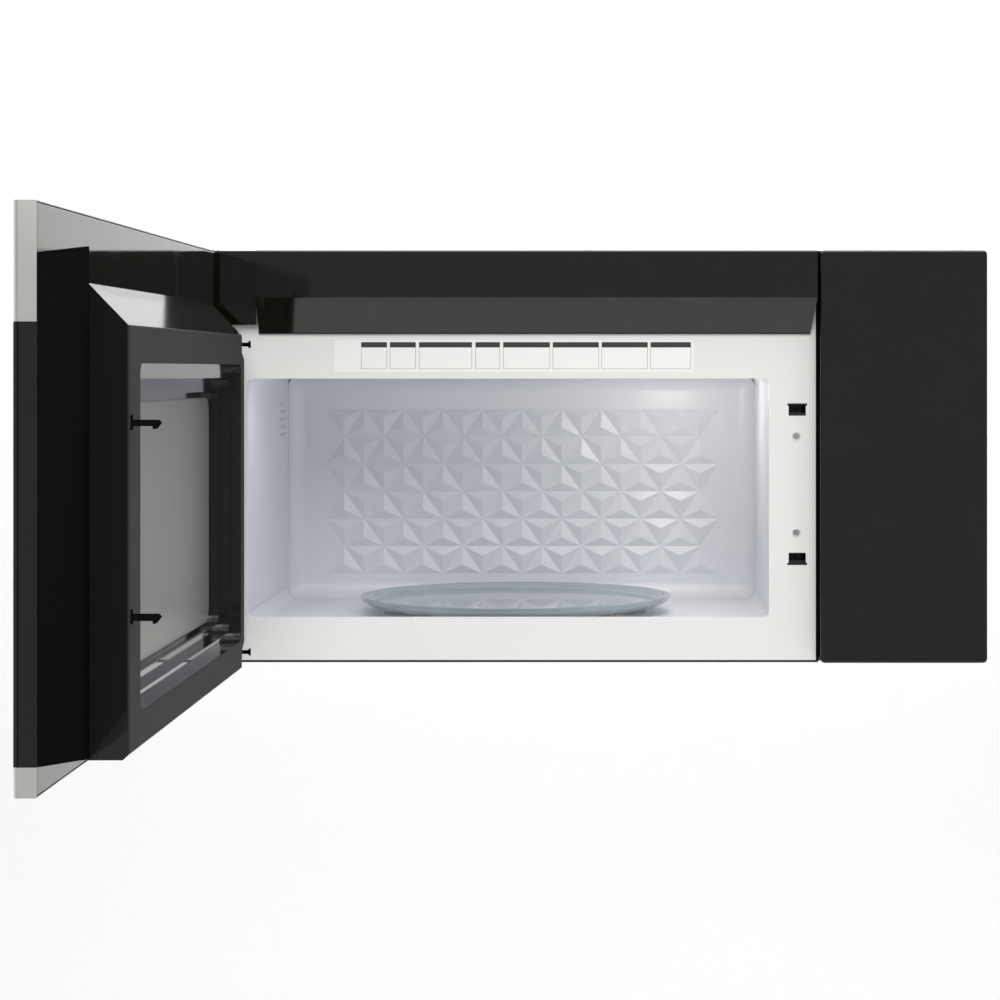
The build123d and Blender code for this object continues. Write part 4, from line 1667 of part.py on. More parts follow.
# Metal choke behind the cover: base plate with four slotted walls that trap the waves.
COMB_SHEET = 0.8
COMB_TOP = 41.0
COMB_BASE = DOOR_THICK + 0.2
COMB_PITCH = 14.0
COMB_SLOT = 5.0
COMB_SLOT_FROM = 24.0
COMB_UPPER_Z = CHOKE_TOP - 13.9
COMB_LOWER_Z = CHOKE_BOTTOM + 12.5
COMB_FREE_U = CHOKE_FREE - 23.7
COMB_HINGE_U = 3.5
COMB_LONG = int((COMB_FREE_U - 30.0) / COMB_PITCH)
COMB_FREE_SIDE = int((COMB_UPPER_Z - COMB_LOWER_Z - 17.0) / COMB_PITCH)
COMB_HINGE_SIDE = int((CHOKE_TOP - CHOKE_BOTTOM - 84.0) / COMB_PITCH)
with BuildPart() as choke_frame:
    with BuildSketch(door_face(COMB_BASE + COMB_SHEET)):
        span(CHOKE_CUT + 3, CHOKE_FREE - 4, CHOKE_FOOT + 4, CHOKE_TOP_BASE - 7)
        span(CHOKE_HINGE + 3, CHOKE_CUT + 4, CHOKE_BOTTOM + 28, CHOKE_TOP - 30)
        span(
            WINDOW_HINGE - 3,
            WINDOW_FREE + 3,
            WINDOW_BOTTOM - 3,
            WINDOW_TOP + 3,
            WINDOW_CORNER + 3,
            Mode.SUBTRACT,
        )
    extrude(amount=COMB_SHEET)
    with BuildSketch(door_face(COMB_BASE)):
        span(20, COMB_FREE_U - 6, COMB_UPPER_Z, COMB_UPPER_Z + COMB_SHEET)
        span(20, COMB_FREE_U - 6, COMB_LOWER_Z - COMB_SHEET, COMB_LOWER_Z)
        span(COMB_FREE_U, COMB_FREE_U + COMB_SHEET, COMB_LOWER_Z, COMB_UPPER_Z)
        span(COMB_HINGE_U - COMB_SHEET, COMB_HINGE_U, CHOKE_BOTTOM + 34, CHOKE_TOP - 36)
    extrude(amount=COMB_BASE - COMB_TOP)
    with BuildSketch(door_face(COMB_SLOT_FROM)):
        with Locations((COMB_FREE_U / 2 + 7, COMB_UPPER_Z + COMB_SHEET / 2)):
            with GridLocations(COMB_PITCH, 0, COMB_LONG, 1):
                Rectangle(COMB_SLOT, 3)
        with Locations((COMB_FREE_U / 2 + 7, COMB_LOWER_Z - COMB_SHEET / 2)):
            with GridLocations(COMB_PITCH, 0, COMB_LONG, 1):
                Rectangle(COMB_SLOT, 3)
        with Locations((COMB_FREE_U + COMB_SHEET / 2, (COMB_UPPER_Z + COMB_LOWER_Z) / 2)):
            with GridLocations(0, COMB_PITCH, 1, COMB_FREE_SIDE):
                Rectangle(3, COMB_SLOT)
        with Locations((COMB_HINGE_U - COMB_SHEET / 2, (CHOKE_TOP + CHOKE_BOTTOM) / 2 - 1)):
            with GridLocations(0, COMB_PITCH, 1, COMB_HINGE_SIDE):
                Rectangle(3, COMB_SLOT)
    extrude(amount=-CHOKE_DEPTH, mode=Mode.SUBTRACT)
save(choke_frame, "choke_frame")

# Metal screen and inner glass of the window, clamped between door frame and choke cover.
with BuildPart() as window_screen:
    with BuildSketch(door_face(DOOR_THICK + 0.2 + SCREEN_SHEET)):
        span(WINDOW_HINGE - 2, WINDOW_FREE + 2, WINDOW_BOTTOM - 2, WINDOW_TOP + 2, WINDOW_CORNER + 2)
    extrude(amount=SCREEN_SHEET)
save(window_screen, "window_screen")

with BuildPart() as inner_window:
    with BuildSketch(door_face(WINDOW_DEPTH - 0.05)):
        span(
            WINDOW_HINGE - GLASS_POCKET + 0.6,
            WINDOW_FREE + GLASS_POCKET - 0.6,
            WINDOW_BOTTOM - GLASS_POCKET + 0.6,
            WINDOW_TOP + GLASS_POCKET - 0.6,
            WINDOW_CORNER + GLASS_POCKET - 0.6,
        )
    extrude(amount=INNER_GLASS)
save(inner_window, "inner_window")

# Touch board behind the glass, on four spacers.
TOUCH_LEFT = WINDOW_FREE + 24.0
TOUCH_RIGHT = DOOR_FREE - 12.3
TOUCH_BOTTOM = GLASS_BOTTOM + 30.5
TOUCH_TOP = GLASS_TOP - 18.0
TOUCH_MID_U = (TOUCH_LEFT + TOUCH_RIGHT) / 2
TOUCH_MID_Z = (TOUCH_BOTTOM + TOUCH_TOP) / 2
TOUCH_BACK = GLASS_THICK + 0.4 + BOARD_THICK
with BuildPart() as touch_board:
    with BuildSketch(door_face(TOUCH_BACK)):
        span(TOUCH_LEFT, TOUCH_RIGHT, TOUCH_BOTTOM, TOUCH_TOP, 3)
    extrude(amount=BOARD_THICK)
    with BuildSketch(door_face(TOUCH_BACK)):
        with Locations((TOUCH_MID_U, TOUCH_MID_Z)):
            with GridLocations(TOUCH_RIGHT - TOUCH_LEFT - 14, TOUCH_TOP - TOUCH_BOTTOM - 14, 2, 2):
                Circle(3)
    extrude(amount=TOUCH_BACK - FACE_BACK)
    with BuildSketch(door_face(TOUCH_BACK)):
        with Locations((TOUCH_MID_U, TOUCH_TOP - 44)):
            Rectangle(80, 26)
        with Locations((TOUCH_MID_U - 20, TOUCH_MID_Z - 10)):
            Rectangle(14, 14)
            with Locations((50, 0)):
                Rectangle(8, 34)
    extrude(amount=-3.2)
save(touch_board, "touch_board")

# =================================================================== latch
# Lever in the choke box: a plate that slides on two pegs and carries both hooks.
PEG_SLOT = 2 * PEG_RADIUS + HOOK_TRAVEL + 0.6
with BuildPart() as latch_lever:
    with BuildSketch(door_end(LATCH_U - LATCH_PLATE / 2)):
        span(LEVER_DEPTH - 8, LEVER_DEPTH + 8, LATCH_Z[1] - 8, LEVER_TOP, 3)
        for z in LATCH_Z:
            span(LEVER_DEPTH, CHOKE_DEPTH - 5, z - 7, z + 7)
        for z in PEG_Z:
            with Locations((LEVER_DEPTH, z - HOOK_TRAVEL / 2)):
                SlotOverall(PEG_SLOT, 2 * PEG_RADIUS + 0.4, rotation=90, mode=Mode.SUBTRACT)
    extrude(amount=LATCH_PLATE)
    with BuildSketch(door_end(LATCH_U - HOOK_WIDTH / 2)):
        for z in LATCH_Z:
            with BuildLine():
                Polyline(
                    (CHOKE_DEPTH - 12, z + HOOK_HEIGHT / 2),
                    (CHOKE_DEPTH + HOOK_REACH - 2, z + HOOK_HEIGHT / 2),
                    (CHOKE_DEPTH + HOOK_REACH, z + HOOK_HEIGHT / 2 - 2),
                    (CHOKE_DEPTH + HOOK_REACH, z),
                    (CHOKE_DEPTH + HOOK_REACH - 3.4, z - HOOK_HEIGHT / 2 - HOOK_BARB),
                    (CHOKE_DEPTH + HOOK_REACH - 5.4, z - HOOK_HEIGHT / 2 - HOOK_BARB),
                    (CHOKE_DEPTH + HOOK_REACH - 5.4, z - HOOK_HEIGHT / 2),
                    (CHOKE_DEPTH - 12, z - HOOK_HEIGHT / 2),
                    close=True,
                )
            make_face()
    extrude(amount=HOOK_WIDTH)
save(latch_lever, "latch_lever")

# Return spring between the lever's top and its seat.
with BuildPart() as latch_spring:
    with BuildLine() as coil:
        Helix(
            pitch=(SPRING_LENGTH - 2 * SPRING_WIRE) / SPRING_TURNS,
            height=SPRING_LENGTH - 2 * SPRING_WIRE,
            radius=SPRING_RADIUS,
            center=(DOOR_X + LEVER_DEPTH, PIVOT_Y - LATCH_U, LEVER_TOP + SPRING_WIRE),
        )
    with BuildSketch(Plane(origin=coil.line @ 0, z_dir=coil.line % 0)):
        Circle(SPRING_WIRE)
    sweep()
save(latch_spring, "latch_spring")

# Housing behind the face frame: strikes for the hooks and shelves for the switches.
HOUSING_LEFT = LATCH_X - 12.5
HOUSING_RIGHT = LATCH_X + 12.5
HOUSING_WALL = 2.0
HOUSING_FRONT = FRAME_BACK + SLIP
HOUSING_REAR = FRONT + 38.0
HOUSING_TOP = LATCH_Z[0] + 16.5
HOUSING_BOTTOM = LATCH_Z[1] - 18.2
HOOK_TIP_Y = PIVOT_Y + CHOKE_DEPTH - PIVOT_DEPTH + HOOK_REACH
STRIKE_REAR = HOOK_TIP_Y - 5.4 - 0.5
STRIKE_THICK = 3.0
SWITCH_FRONT = HOOK_TIP_Y + 3.6
SWITCH_DEPTH = 14.0
SWITCH_HEIGHT = 16.0
SWITCH_WIDTH = 11.0
PLUNGER_RADIUS = 1.6
PLUNGER_FRONT = HOOK_TIP_Y + 0.6
PLUNGER_LENGTH = 7.0
with BuildPart() as latch_housing:
    with BuildSketch(front_plane(HOUSING_REAR)):
        span(HOUSING_LEFT, HOUSING_RIGHT, HOUSING_BOTTOM, HOUSING_TOP)
    extrude(amount=HOUSING_REAR - HOUSING_FRONT)
    with BuildSketch(front_plane(HOUSING_REAR)):
        span(
            HOUSING_LEFT + HOUSING_WALL,
            HOUSING_RIGHT - HOUSING_WALL,
            HOUSING_BOTTOM + HOUSING_WALL,
            HOUSING_TOP - HOUSING_WALL,
        )
    extrude(amount=HOUSING_REAR - HOUSING_FRONT - HOUSING_WALL, mode=Mode.SUBTRACT)
    with BuildSketch(front_plane(HOUSING_FRONT)):
        for z in LATCH_Z:
            with Locations((LATCH_X, z)):
                Rectangle(LATCH_SLOT_WIDTH, LATCH_SLOT_HEIGHT)
    extrude(amount=-HOUSING_WALL, mode=Mode.SUBTRACT)
    with BuildSketch(front_plane(STRIKE_REAR)):
        for z in LATCH_Z:
            span(HOUSING_LEFT + 1, HOUSING_RIGHT - 1, z - 10, z - HOOK_HEIGHT / 2 - 0.3)
    extrude(amount=STRIKE_THICK)
    with BuildSketch(front_plane(SWITCH_FRONT + SWITCH_DEPTH)):
        for z in LATCH_Z:
            shelf = z - SWITCH_HEIGHT / 2 - 0.2
            span(HOUSING_LEFT + 1, HOUSING_RIGHT - 1, shelf - HOUSING_WALL, shelf)
    extrude(amount=SWITCH_DEPTH)
    # Screw bosses.
    with BuildSketch(front_plane(HOUSING_FRONT + SCREW_LENGTH)):
        for z in FRAME_SCREW_Z:
            with Locations((FRAME_SCREW_X, z)):
                Circle(4.5)
    extrude(amount=SCREW_LENGTH)
    with BuildSketch(front_plane(HOUSING_FRONT + SCREW_LENGTH)):
        for z in FRAME_SCREW_Z:
            with Locations((FRAME_SCREW_X, z)):
                Circle(SCREW_RADIUS + 0.02)
    extrude(amount=SCREW_LENGTH, mode=Mode.SUBTRACT)
save(latch_housing, "latch_housing")

# Door switches, each with a bore for its plunger and three terminal blades.
with BuildPart() as latch_switches:
    with BuildSketch(front_plane(SWITCH_FRONT + SWITCH_DEPTH)):
        for z in LATCH_Z:
            with Locations((LATCH_X, z)):
                Rectangle(SWITCH_WIDTH, SWITCH_HEIGHT)
    extrude(amount=SWITCH_DEPTH)
    with BuildSketch(front_plane(SWITCH_FRONT)):
        for z in LATCH_Z:
            with Locations((LATCH_X, z)):
                Circle(PLUNGER_RADIUS + RUNNING_PLAY)
    extrude(amount=-PLUNGER_LENGTH - SWITCH_TRAVEL, mode=Mode.SUBTRACT)
    with BuildSketch(front_plane(SWITCH_FRONT + SWITCH_DEPTH)):
        for z in LATCH_Z:
            with Locations((LATCH_X, z)):
                with GridLocations(0, 5, 1, 3):
                    Rectangle(4.8, 0.8)
    extrude(amount=-7)
save(latch_switches, "latch_switches")

for name, z in (("upper_plunger", LATCH_Z[0]), ("lower_plunger", LATCH_Z[1])):
    with BuildPart() as plunger:
        with BuildSketch(front_plane(PLUNGER_FRONT)):
            with Locations((LATCH_X, z)):
                Circle(PLUNGER_RADIUS)
        extrude(amount=-PLUNGER_LENGTH)
        fillet(plunger.faces().sort_by(Axis.Y)[0].edges(), 0.6)
    save(plunger, name)

# Power board on the right wall: filter coils, capacitors and a heat sink.
POWER_X = HALF_WIDTH - SHEET - 8.0
POWER_Y = FRONT + 114.0
POWER_Z = OPENING_TOP - 48.7
POWER_LENGTH = 130.0
POWER_HEIGHT = 120.0
with BuildPart() as power_board:
    with BuildSketch(side_plane(POWER_X - BOARD_THICK)):
        with Locations((POWER_Y, POWER_Z)):
            RectangleRounded(POWER_LENGTH, POWER_HEIGHT, 3)
    extrude(amount=BOARD_THICK)
    with BuildSketch(side_plane(POWER_X)):
        with Locations((POWER_Y, POWER_Z)):
            with GridLocations(POWER_LENGTH - 14, POWER_HEIGHT - 14, 2, 2):
                Circle(3)
    extrude(amount=8.0 - SLIP)
    with BuildSketch(side_plane(POWER_X - BOARD_THICK)):
        with Locations((POWER_Y - 30, POWER_Z + 20)):
            with GridLocations(26, 0, 2, 1):
                Circle(10)
        with Locations((POWER_Y + 30, POWER_Z - 25)):
            Rectangle(44, 30)
        with Locations((POWER_Y - 30, POWER_Z - 30)):
            with GridLocations(0, 18, 1, 3):
                Rectangle(24, 8)
    extrude(amount=-22)
    with BuildSketch(side_plane(POWER_X - BOARD_THICK)):
        with Locations((POWER_Y + 34, POWER_Z + 30)):
            with GridLocations(6, 0, 7, 1):
                Rectangle(1.6, 40)
            Rectangle(40, 3)
    extrude(amount=-30)
save(power_board, "power_board")
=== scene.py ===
import math

import bmesh
import bpy
from bpy.props import FloatProperty, FloatVectorProperty, IntProperty, PointerProperty
from mathutils import Matrix, Vector


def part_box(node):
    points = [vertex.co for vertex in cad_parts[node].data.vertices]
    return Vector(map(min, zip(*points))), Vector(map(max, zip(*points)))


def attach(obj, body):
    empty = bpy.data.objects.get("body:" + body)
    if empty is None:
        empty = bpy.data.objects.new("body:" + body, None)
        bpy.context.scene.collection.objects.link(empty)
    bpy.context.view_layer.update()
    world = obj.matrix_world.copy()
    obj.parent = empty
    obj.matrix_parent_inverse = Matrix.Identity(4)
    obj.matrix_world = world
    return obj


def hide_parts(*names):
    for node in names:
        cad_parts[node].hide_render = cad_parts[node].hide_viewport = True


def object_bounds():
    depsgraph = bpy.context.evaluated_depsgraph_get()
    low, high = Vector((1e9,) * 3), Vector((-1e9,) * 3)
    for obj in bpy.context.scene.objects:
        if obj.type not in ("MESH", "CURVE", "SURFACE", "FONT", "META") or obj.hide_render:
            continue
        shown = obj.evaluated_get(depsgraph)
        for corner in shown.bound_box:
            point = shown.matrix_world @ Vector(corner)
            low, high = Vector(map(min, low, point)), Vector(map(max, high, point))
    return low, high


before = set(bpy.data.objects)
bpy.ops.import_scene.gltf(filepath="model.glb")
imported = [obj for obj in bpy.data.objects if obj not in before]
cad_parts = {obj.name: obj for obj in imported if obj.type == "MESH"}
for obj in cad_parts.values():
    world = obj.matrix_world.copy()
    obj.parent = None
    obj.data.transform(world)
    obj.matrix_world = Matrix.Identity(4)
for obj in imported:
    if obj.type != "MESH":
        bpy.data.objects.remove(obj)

CAD_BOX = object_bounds()
MM = 0.001

bl_info = {
    "name": "Over-the-range microwave",
    "version": (1, 0, 0),
    "blender": (4, 5, 0),
    "location": "View3D > Sidebar > Microwave",
    "description": "Finishes, small fittings and studio for a full-width-door microwave",
    "category": "Object",
}


def linear(code):
    """An sRGB hex colour as three linear values."""
    channels = [int(code[i : i + 2], 16) / 255 for i in (1, 3, 5)]
    return tuple(c / 12.92 if c <= 0.04045 else ((c + 0.055) / 1.055) ** 2.4 for c in channels)


def tone(colour, factor=1.0):
    """A colour or its hex code for a node socket, lighter or darker by a factor."""
    values = linear(colour) if isinstance(colour, str) else colour
    return tuple(min(1.0, c * factor) for c in values[:3]) + (1.0,)


def box_mm(node):
    """The box of one of the frame's nodes, in millimetres."""
    low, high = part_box(node)
    return low / MM, high / MM


# Places of the cabinet and the door in millimetres, read from the frame's own pieces.
WRAP_LOW, WRAP_HIGH = box_mm("outer_wrap")
FRAME_LOW, FRAME_HIGH = box_mm("face_frame")
PANEL_LOW, PANEL_HIGH = box_mm("right_panel")
FILTER_LOW, FILTER_HIGH = box_mm("grease_filter_right")
LENS_LOW, LENS_HIGH = box_mm("cooktop_lenses")
SCREEN_LOW, SCREEN_HIGH = box_mm("window_screen")
CHOKE_LOW, CHOKE_HIGH = box_mm("choke_cover")
DOOR_LOW = box_mm("door_frame")[0]
BAND_TOP = box_mm("door_bottom_band")[1].z


# ------------------------------------------------------------------ settings
class FinishColours(bpy.types.PropertyGroup):
    stainless: FloatVectorProperty(
        name="Stainless", description="Brushed bands of the door", subtype="COLOR",
        min=0, max=1, default=linear("#e8e6e3"))
    gloss_black: FloatVectorProperty(
        name="Gloss black", description="Moulded panel, trim and door back", subtype="COLOR",
        min=0, max=1, default=linear("#12110d"))
    frame_enamel: FloatVectorProperty(
        name="Face frame", description="White enamel round the oven", subtype="COLOR",
        min=0, max=1, default=linear("#e9e8e6"))
    cavity_enamel: FloatVectorProperty(
        name="Cavity", description="Blue-grey enamel inside the oven", subtype="COLOR",
        min=0, max=1, default=linear("#dddfe5"))
    cabinet_black: FloatVectorProperty(
        name="Cabinet", description="Powder coat of the outer wrap", subtype="COLOR",
        min=0, max=1, default=linear("#242426"))
    zinc: FloatVectorProperty(
        name="Zinc", description="Galvanised sheet", subtype="COLOR",
        min=0, max=1, default=linear("#b3b6b8"))
    door_glass: FloatVectorProperty(
        name="Door glass", description="Ink behind the door's front glass", subtype="COLOR",
        min=0, max=1, default=linear("#08080a"))


class DetailSizes(bpy.types.PropertyGroup):
    chart_length: FloatProperty(
        name="Chart length", description="Blank chart on the face frame",
        default=343 * MM, min=0.05, max=0.45, unit="LENGTH", subtype="DISTANCE")
    chart_height: FloatProperty(
        name="Chart height", description="Blank chart on the face frame",
        default=31 * MM, min=0.01, max=0.036, unit="LENGTH", subtype="DISTANCE")
    screw_head: FloatProperty(
        name="Screw head", description="Diameter of the cabinet screws",
        default=8 * MM, min=0.004, max=0.012, unit="LENGTH", subtype="DISTANCE")
    pull_width: FloatProperty(
        name="Filter pull", description="Width of the pull tab of a grease filter",
        default=20 * MM, min=0.01, max=0.04, unit="LENGTH", subtype="DISTANCE")
    mesh_strand: FloatProperty(
        name="Mesh strand", description="Strand of the filters' expanded mesh",
        default=0.7 * MM, min=0.0003, max=0.0015, unit="LENGTH", subtype="DISTANCE")
    lens_ribs: IntProperty(
        name="Lens ribs", description="Prisms under each cooktop lens", default=26, min=6, max=60)


class StageSettings(bpy.types.PropertyGroup):
    floor_colour: FloatVectorProperty(
        name="Floor", description="Paper sweep under and behind the oven", subtype="COLOR",
        min=0, max=1, default=linear("#f4f4f3"))
    floor_gap: FloatProperty(
        name="Floor gap", description="Distance from the oven's underside down to the floor",
        default=2.3, min=0.0, max=4.0, unit="LENGTH", subtype="DISTANCE")
    lens: FloatProperty(
        name="Lens", description="Focal length in millimetres on a 36 mm sensor",
        default=95.89, min=20, max=200)
    overhead_power: FloatProperty(
        name="Overhead", description="Large soft light over the oven, in watts", default=26, min=0, max=500)
    front_power: FloatProperty(
        name="Front", description="Soft light over the camera, in watts", default=78, min=0, max=500)
    backdrop_power: FloatProperty(
        name="Backdrop", description="Light on the paper behind the oven, in watts",
        default=95, min=0, max=1000)
    oven_power: FloatProperty(
        name="Oven lamp", description="Lamp behind the cavity's perforations, in watts",
        default=0.42, min=0, max=20)
    cavity_power: FloatProperty(
        name="Oven fill", description="Even light from the top of the oven's opening, in watts",
        default=0.17, min=0, max=20)


# ------------------------------------------------------------------ finishes: what they share
def add(tree, kind, sockets=None, **settings):
    """Adds a node: settings are its own, sockets maps an input to a value or to another node's output."""
    node = tree.nodes.new(kind)
    for name, value in settings.items():
        setattr(node, name, value)
    for name, value in (sockets or {}).items():
        if isinstance(value, bpy.types.NodeSocket):
            tree.links.new(value, node.inputs[name])
        else:
            node.inputs[name].default_value = value
    return node


def start(name):
    """A new node material and the piece's Object coordinates, counted in millimetres."""
    material = bpy.data.materials.new(name)
    material.use_nodes = True
    tree = material.node_tree
    tree.nodes.clear()
    where = add(tree, "ShaderNodeTexCoord")
    counted = add(tree, "ShaderNodeMapping", {"Vector": where.outputs["Object"], "Scale": (1 / MM,) * 3})
    return material, tree, counted.outputs["Vector"]


def close(tree, sockets):
    """The surface shader of a finish and its output."""
    shader = add(tree, "ShaderNodeBsdfPrincipled", sockets)
    add(tree, "ShaderNodeOutputMaterial", {"Surface": shader.outputs["BSDF"]})


def dress(tree, pattern, first, second, rough, relief=None, more=None):
    """The surface of most finishes. The pattern moves the tone from the first colour to the second.
    Roughness is a value, a socket, or a low and a high that the pattern or a third entry moves
    between. Relief is a height, its depth in millimetres and its strength."""
    tint = add(tree, "ShaderNodeMix", {0: pattern, 6: tone(first), 7: tone(second)}, data_type="RGBA")
    if isinstance(rough, tuple):
        low, high, *source = rough
        spread = add(tree, "ShaderNodeMapRange",
                     {"Value": source[0] if source else pattern, "To Min": low, "To Max": high})
        rough = spread.outputs["Result"]
    sockets = {"Base Color": tint.outputs[2], "Roughness": rough, **(more or {})}
    if relief:
        height, depth, strength = relief
        bump = add(tree, "ShaderNodeBump", {"Height": height, "Distance": depth * MM, "Strength": strength})
        sockets["Normal"] = bump.outputs["Normal"]
    close(tree, sockets)


def dot_net(tree, mm, pitch):
    """Distance from the nearest point of a square net in the open door's plane, in shares of its pitch."""
    axes = add(tree, "ShaderNodeSeparateXYZ", {"Vector": mm})
    flat = add(tree, "ShaderNodeCombineXYZ", {"X": axes.outputs["Y"], "Y": axes.outputs["Z"]})
    net = add(tree, "ShaderNodeTexVoronoi", {"Vector": flat.outputs[0], "Scale": 1 / pitch, "Randomness": 0.0},
              voronoi_dimensions="2D")
    return net.outputs["Distance"]


# ------------------------------------------------------------------ finishes, pattern scales in millimetres
def gloss_abs(name, colours):
    """Gloss ABS, injection moulded in a polished tool: a deep black mirror with a faint ripple
    and the haze that handling leaves."""
    material, tree, mm = start(name)
    ripple = add(tree, "ShaderNodeTexNoise", {"Vector": mm, "Scale": 1 / 40, "Detail": 0.0}).outputs["Fac"]
    hands = add(tree, "ShaderNodeTexNoise", {"Vector": mm, "Scale": 1 / 65, "Detail": 2.0}).outputs["Fac"]
    haze = add(tree, "ShaderNodeMapRange",
               {"Value": hands, "From Min": 0.4, "From Max": 0.7, "To Min": 0.04, "To Max": 0.09})
    dress(tree, hands, tone(colours.gloss_black, 0.85), tone(colours.gloss_black, 1.15),
          haze.outputs["Result"], (ripple, 0.03, 0.4), {"IOR": 1.56})
    return material


def grained_cover(name):
    """Gloss ABS whose front land is spark-eroded: the land round the window is a dull dark grey,
    while the sloped sides and the steps of the recess stay mirror black."""
    material, tree, mm = start(name)
    axes = add(tree, "ShaderNodeSeparateXYZ", {"Vector": mm})
    land = add(tree, "ShaderNodeMapRange",
               {"Value": axes.outputs["X"], "From Min": CHOKE_HIGH.x - 0.9, "From Max": CHOKE_HIGH.x - 0.5})
    land = land.outputs["Result"]
    grain = add(tree, "ShaderNodeTexNoise", {"Vector": mm, "Scale": 1 / 0.8, "Detail": 1.0}).outputs["Fac"]
    dull = add(tree, "ShaderNodeMapRange", {"Value": grain, "To Min": 0.8, "To Max": 0.95})
    rough = add(tree, "ShaderNodeMix", {0: land, 2: 0.06, 3: dull.outputs["Result"]}, data_type="FLOAT")
    height = add(tree, "ShaderNodeMath", {0: grain, 1: land}, operation="MULTIPLY")
    dress(tree, land, "#1c1b19", "#11100f", rough.outputs[0], (height.outputs[0], 0.03, 0.5), {"IOR": 1.56})
    return material


def satin_abs(name):
    """Satin ABS from an etched tool: dark grey-black with a fine spark-eroded grain."""
    material, tree, mm = start(name)
    grain = add(tree, "ShaderNodeTexNoise", {"Vector": mm, "Scale": 1 / 0.9, "Detail": 2.0}).outputs["Fac"]
    dress(tree, grain, "#1e1e1e", "#2b2b2a", (0.32, 0.5), (grain, 0.03, 0.6), {"IOR": 1.54})
    return material


def deep_etched_abs(name):
    """ABS from a deeply etched tool: dead black, with almost no sheen even at a flat angle."""
    material, tree, mm = start(name)
    grain = add(tree, "ShaderNodeTexVoronoi", {"Vector": mm, "Scale": 1 / 1.2}).outputs["Distance"]
    dress(tree, grain, "#0d0d0d", "#161616", 0.8, (grain, 0.04, 0.6), {"IOR": 1.54, "Specular IOR Level": 0.0})
    return material


def brushed_stainless(name, colours):
    """Stainless sheet brushed along the door: long streaks that spread a highlight up and down.
    The real grain is near 0.05 mm wide; it is drawn 0.5 mm wide so that it shows."""
    material, tree, mm = start(name)
    along = add(tree, "ShaderNodeMapping", {"Vector": mm, "Scale": (1 / 0.5, 1 / 90, 1 / 0.5)})
    grain = add(tree, "ShaderNodeTexNoise", {"Vector": along.outputs["Vector"], "Scale": 1.0, "Detail": 4.0,
                                             "Roughness": 0.65}).outputs["Fac"]
    cloud = add(tree, "ShaderNodeTexNoise", {"Vector": mm, "Scale": 1 / 120, "Detail": 2.0}).outputs["Fac"]
    both = add(tree, "ShaderNodeMath", {0: grain, 1: cloud}, operation="MULTIPLY")
    rough = add(tree, "ShaderNodeMapRange", {"Value": both.outputs["Value"], "From Min": 0.1, "From Max": 0.45,
                                             "To Min": 0.3, "To Max": 0.42})
    dress(tree, grain, tone(colours.stainless, 0.9), tone(colours.stainless, 1.06), rough.outputs["Result"],
          (grain, 0.02, 0.35), {"Metallic": 1.0, "Anisotropic": 0.35})
    return material


def fired_enamel(name, colour, peel, roughness):
    """Vitreous enamel, sprayed and fired on steel: a hard gloss over a slight orange peel of about
    1.5 mm, with the tone a little uneven where the coat is thinner."""
    material, tree, mm = start(name)
    skin = add(tree, "ShaderNodeTexNoise", {"Vector": mm, "Scale": 1 / 1.6, "Detail": 1.0}).outputs["Fac"]
    cloud = add(tree, "ShaderNodeTexNoise", {"Vector": mm, "Scale": 1 / 110, "Detail": 1.0}).outputs["Fac"]
    dress(tree, cloud, tone(colour, 0.985), tone(colour, 1.01), (roughness - 0.02, roughness + 0.03),
          (skin, peel, 0.4), {"IOR": 1.5})
    return material


def powder_coat(name, colours):
    """Satin black powder coat on the cabinet's sheet: melted grains leave a fine, soft pebble."""
    material, tree, mm = start(name)
    pebble = add(tree, "ShaderNodeTexVoronoi", {"Vector": mm, "Scale": 1 / 1.1}, feature="SMOOTH_F1")
    pebble = pebble.outputs["Distance"]
    dress(tree, pebble, tone(colours.cabinet_black, 1.1), tone(colours.cabinet_black, 0.85), (0.42, 0.56),
          (pebble, 0.05, 0.5), {"IOR": 1.5})
    return material


def galvanised(name, colours):
    """Hot-dip zinc on steel sheet: frozen spangles about 9 mm across, each turned its own way."""
    material, tree, mm = start(name)
    spangle = add(tree, "ShaderNodeTexVoronoi", {"Vector": mm, "Scale": 1 / 9})
    chance = add(tree, "ShaderNodeSeparateColor", {"Color": spangle.outputs["Color"]}).outputs
    dress(tree, chance["Red"], tone(colours.zinc, 0.82), tone(colours.zinc, 1.1), (0.34, 0.5, chance["Green"]),
          (chance["Blue"], 0.02, 0.3), {"Metallic": 1.0})
    return material


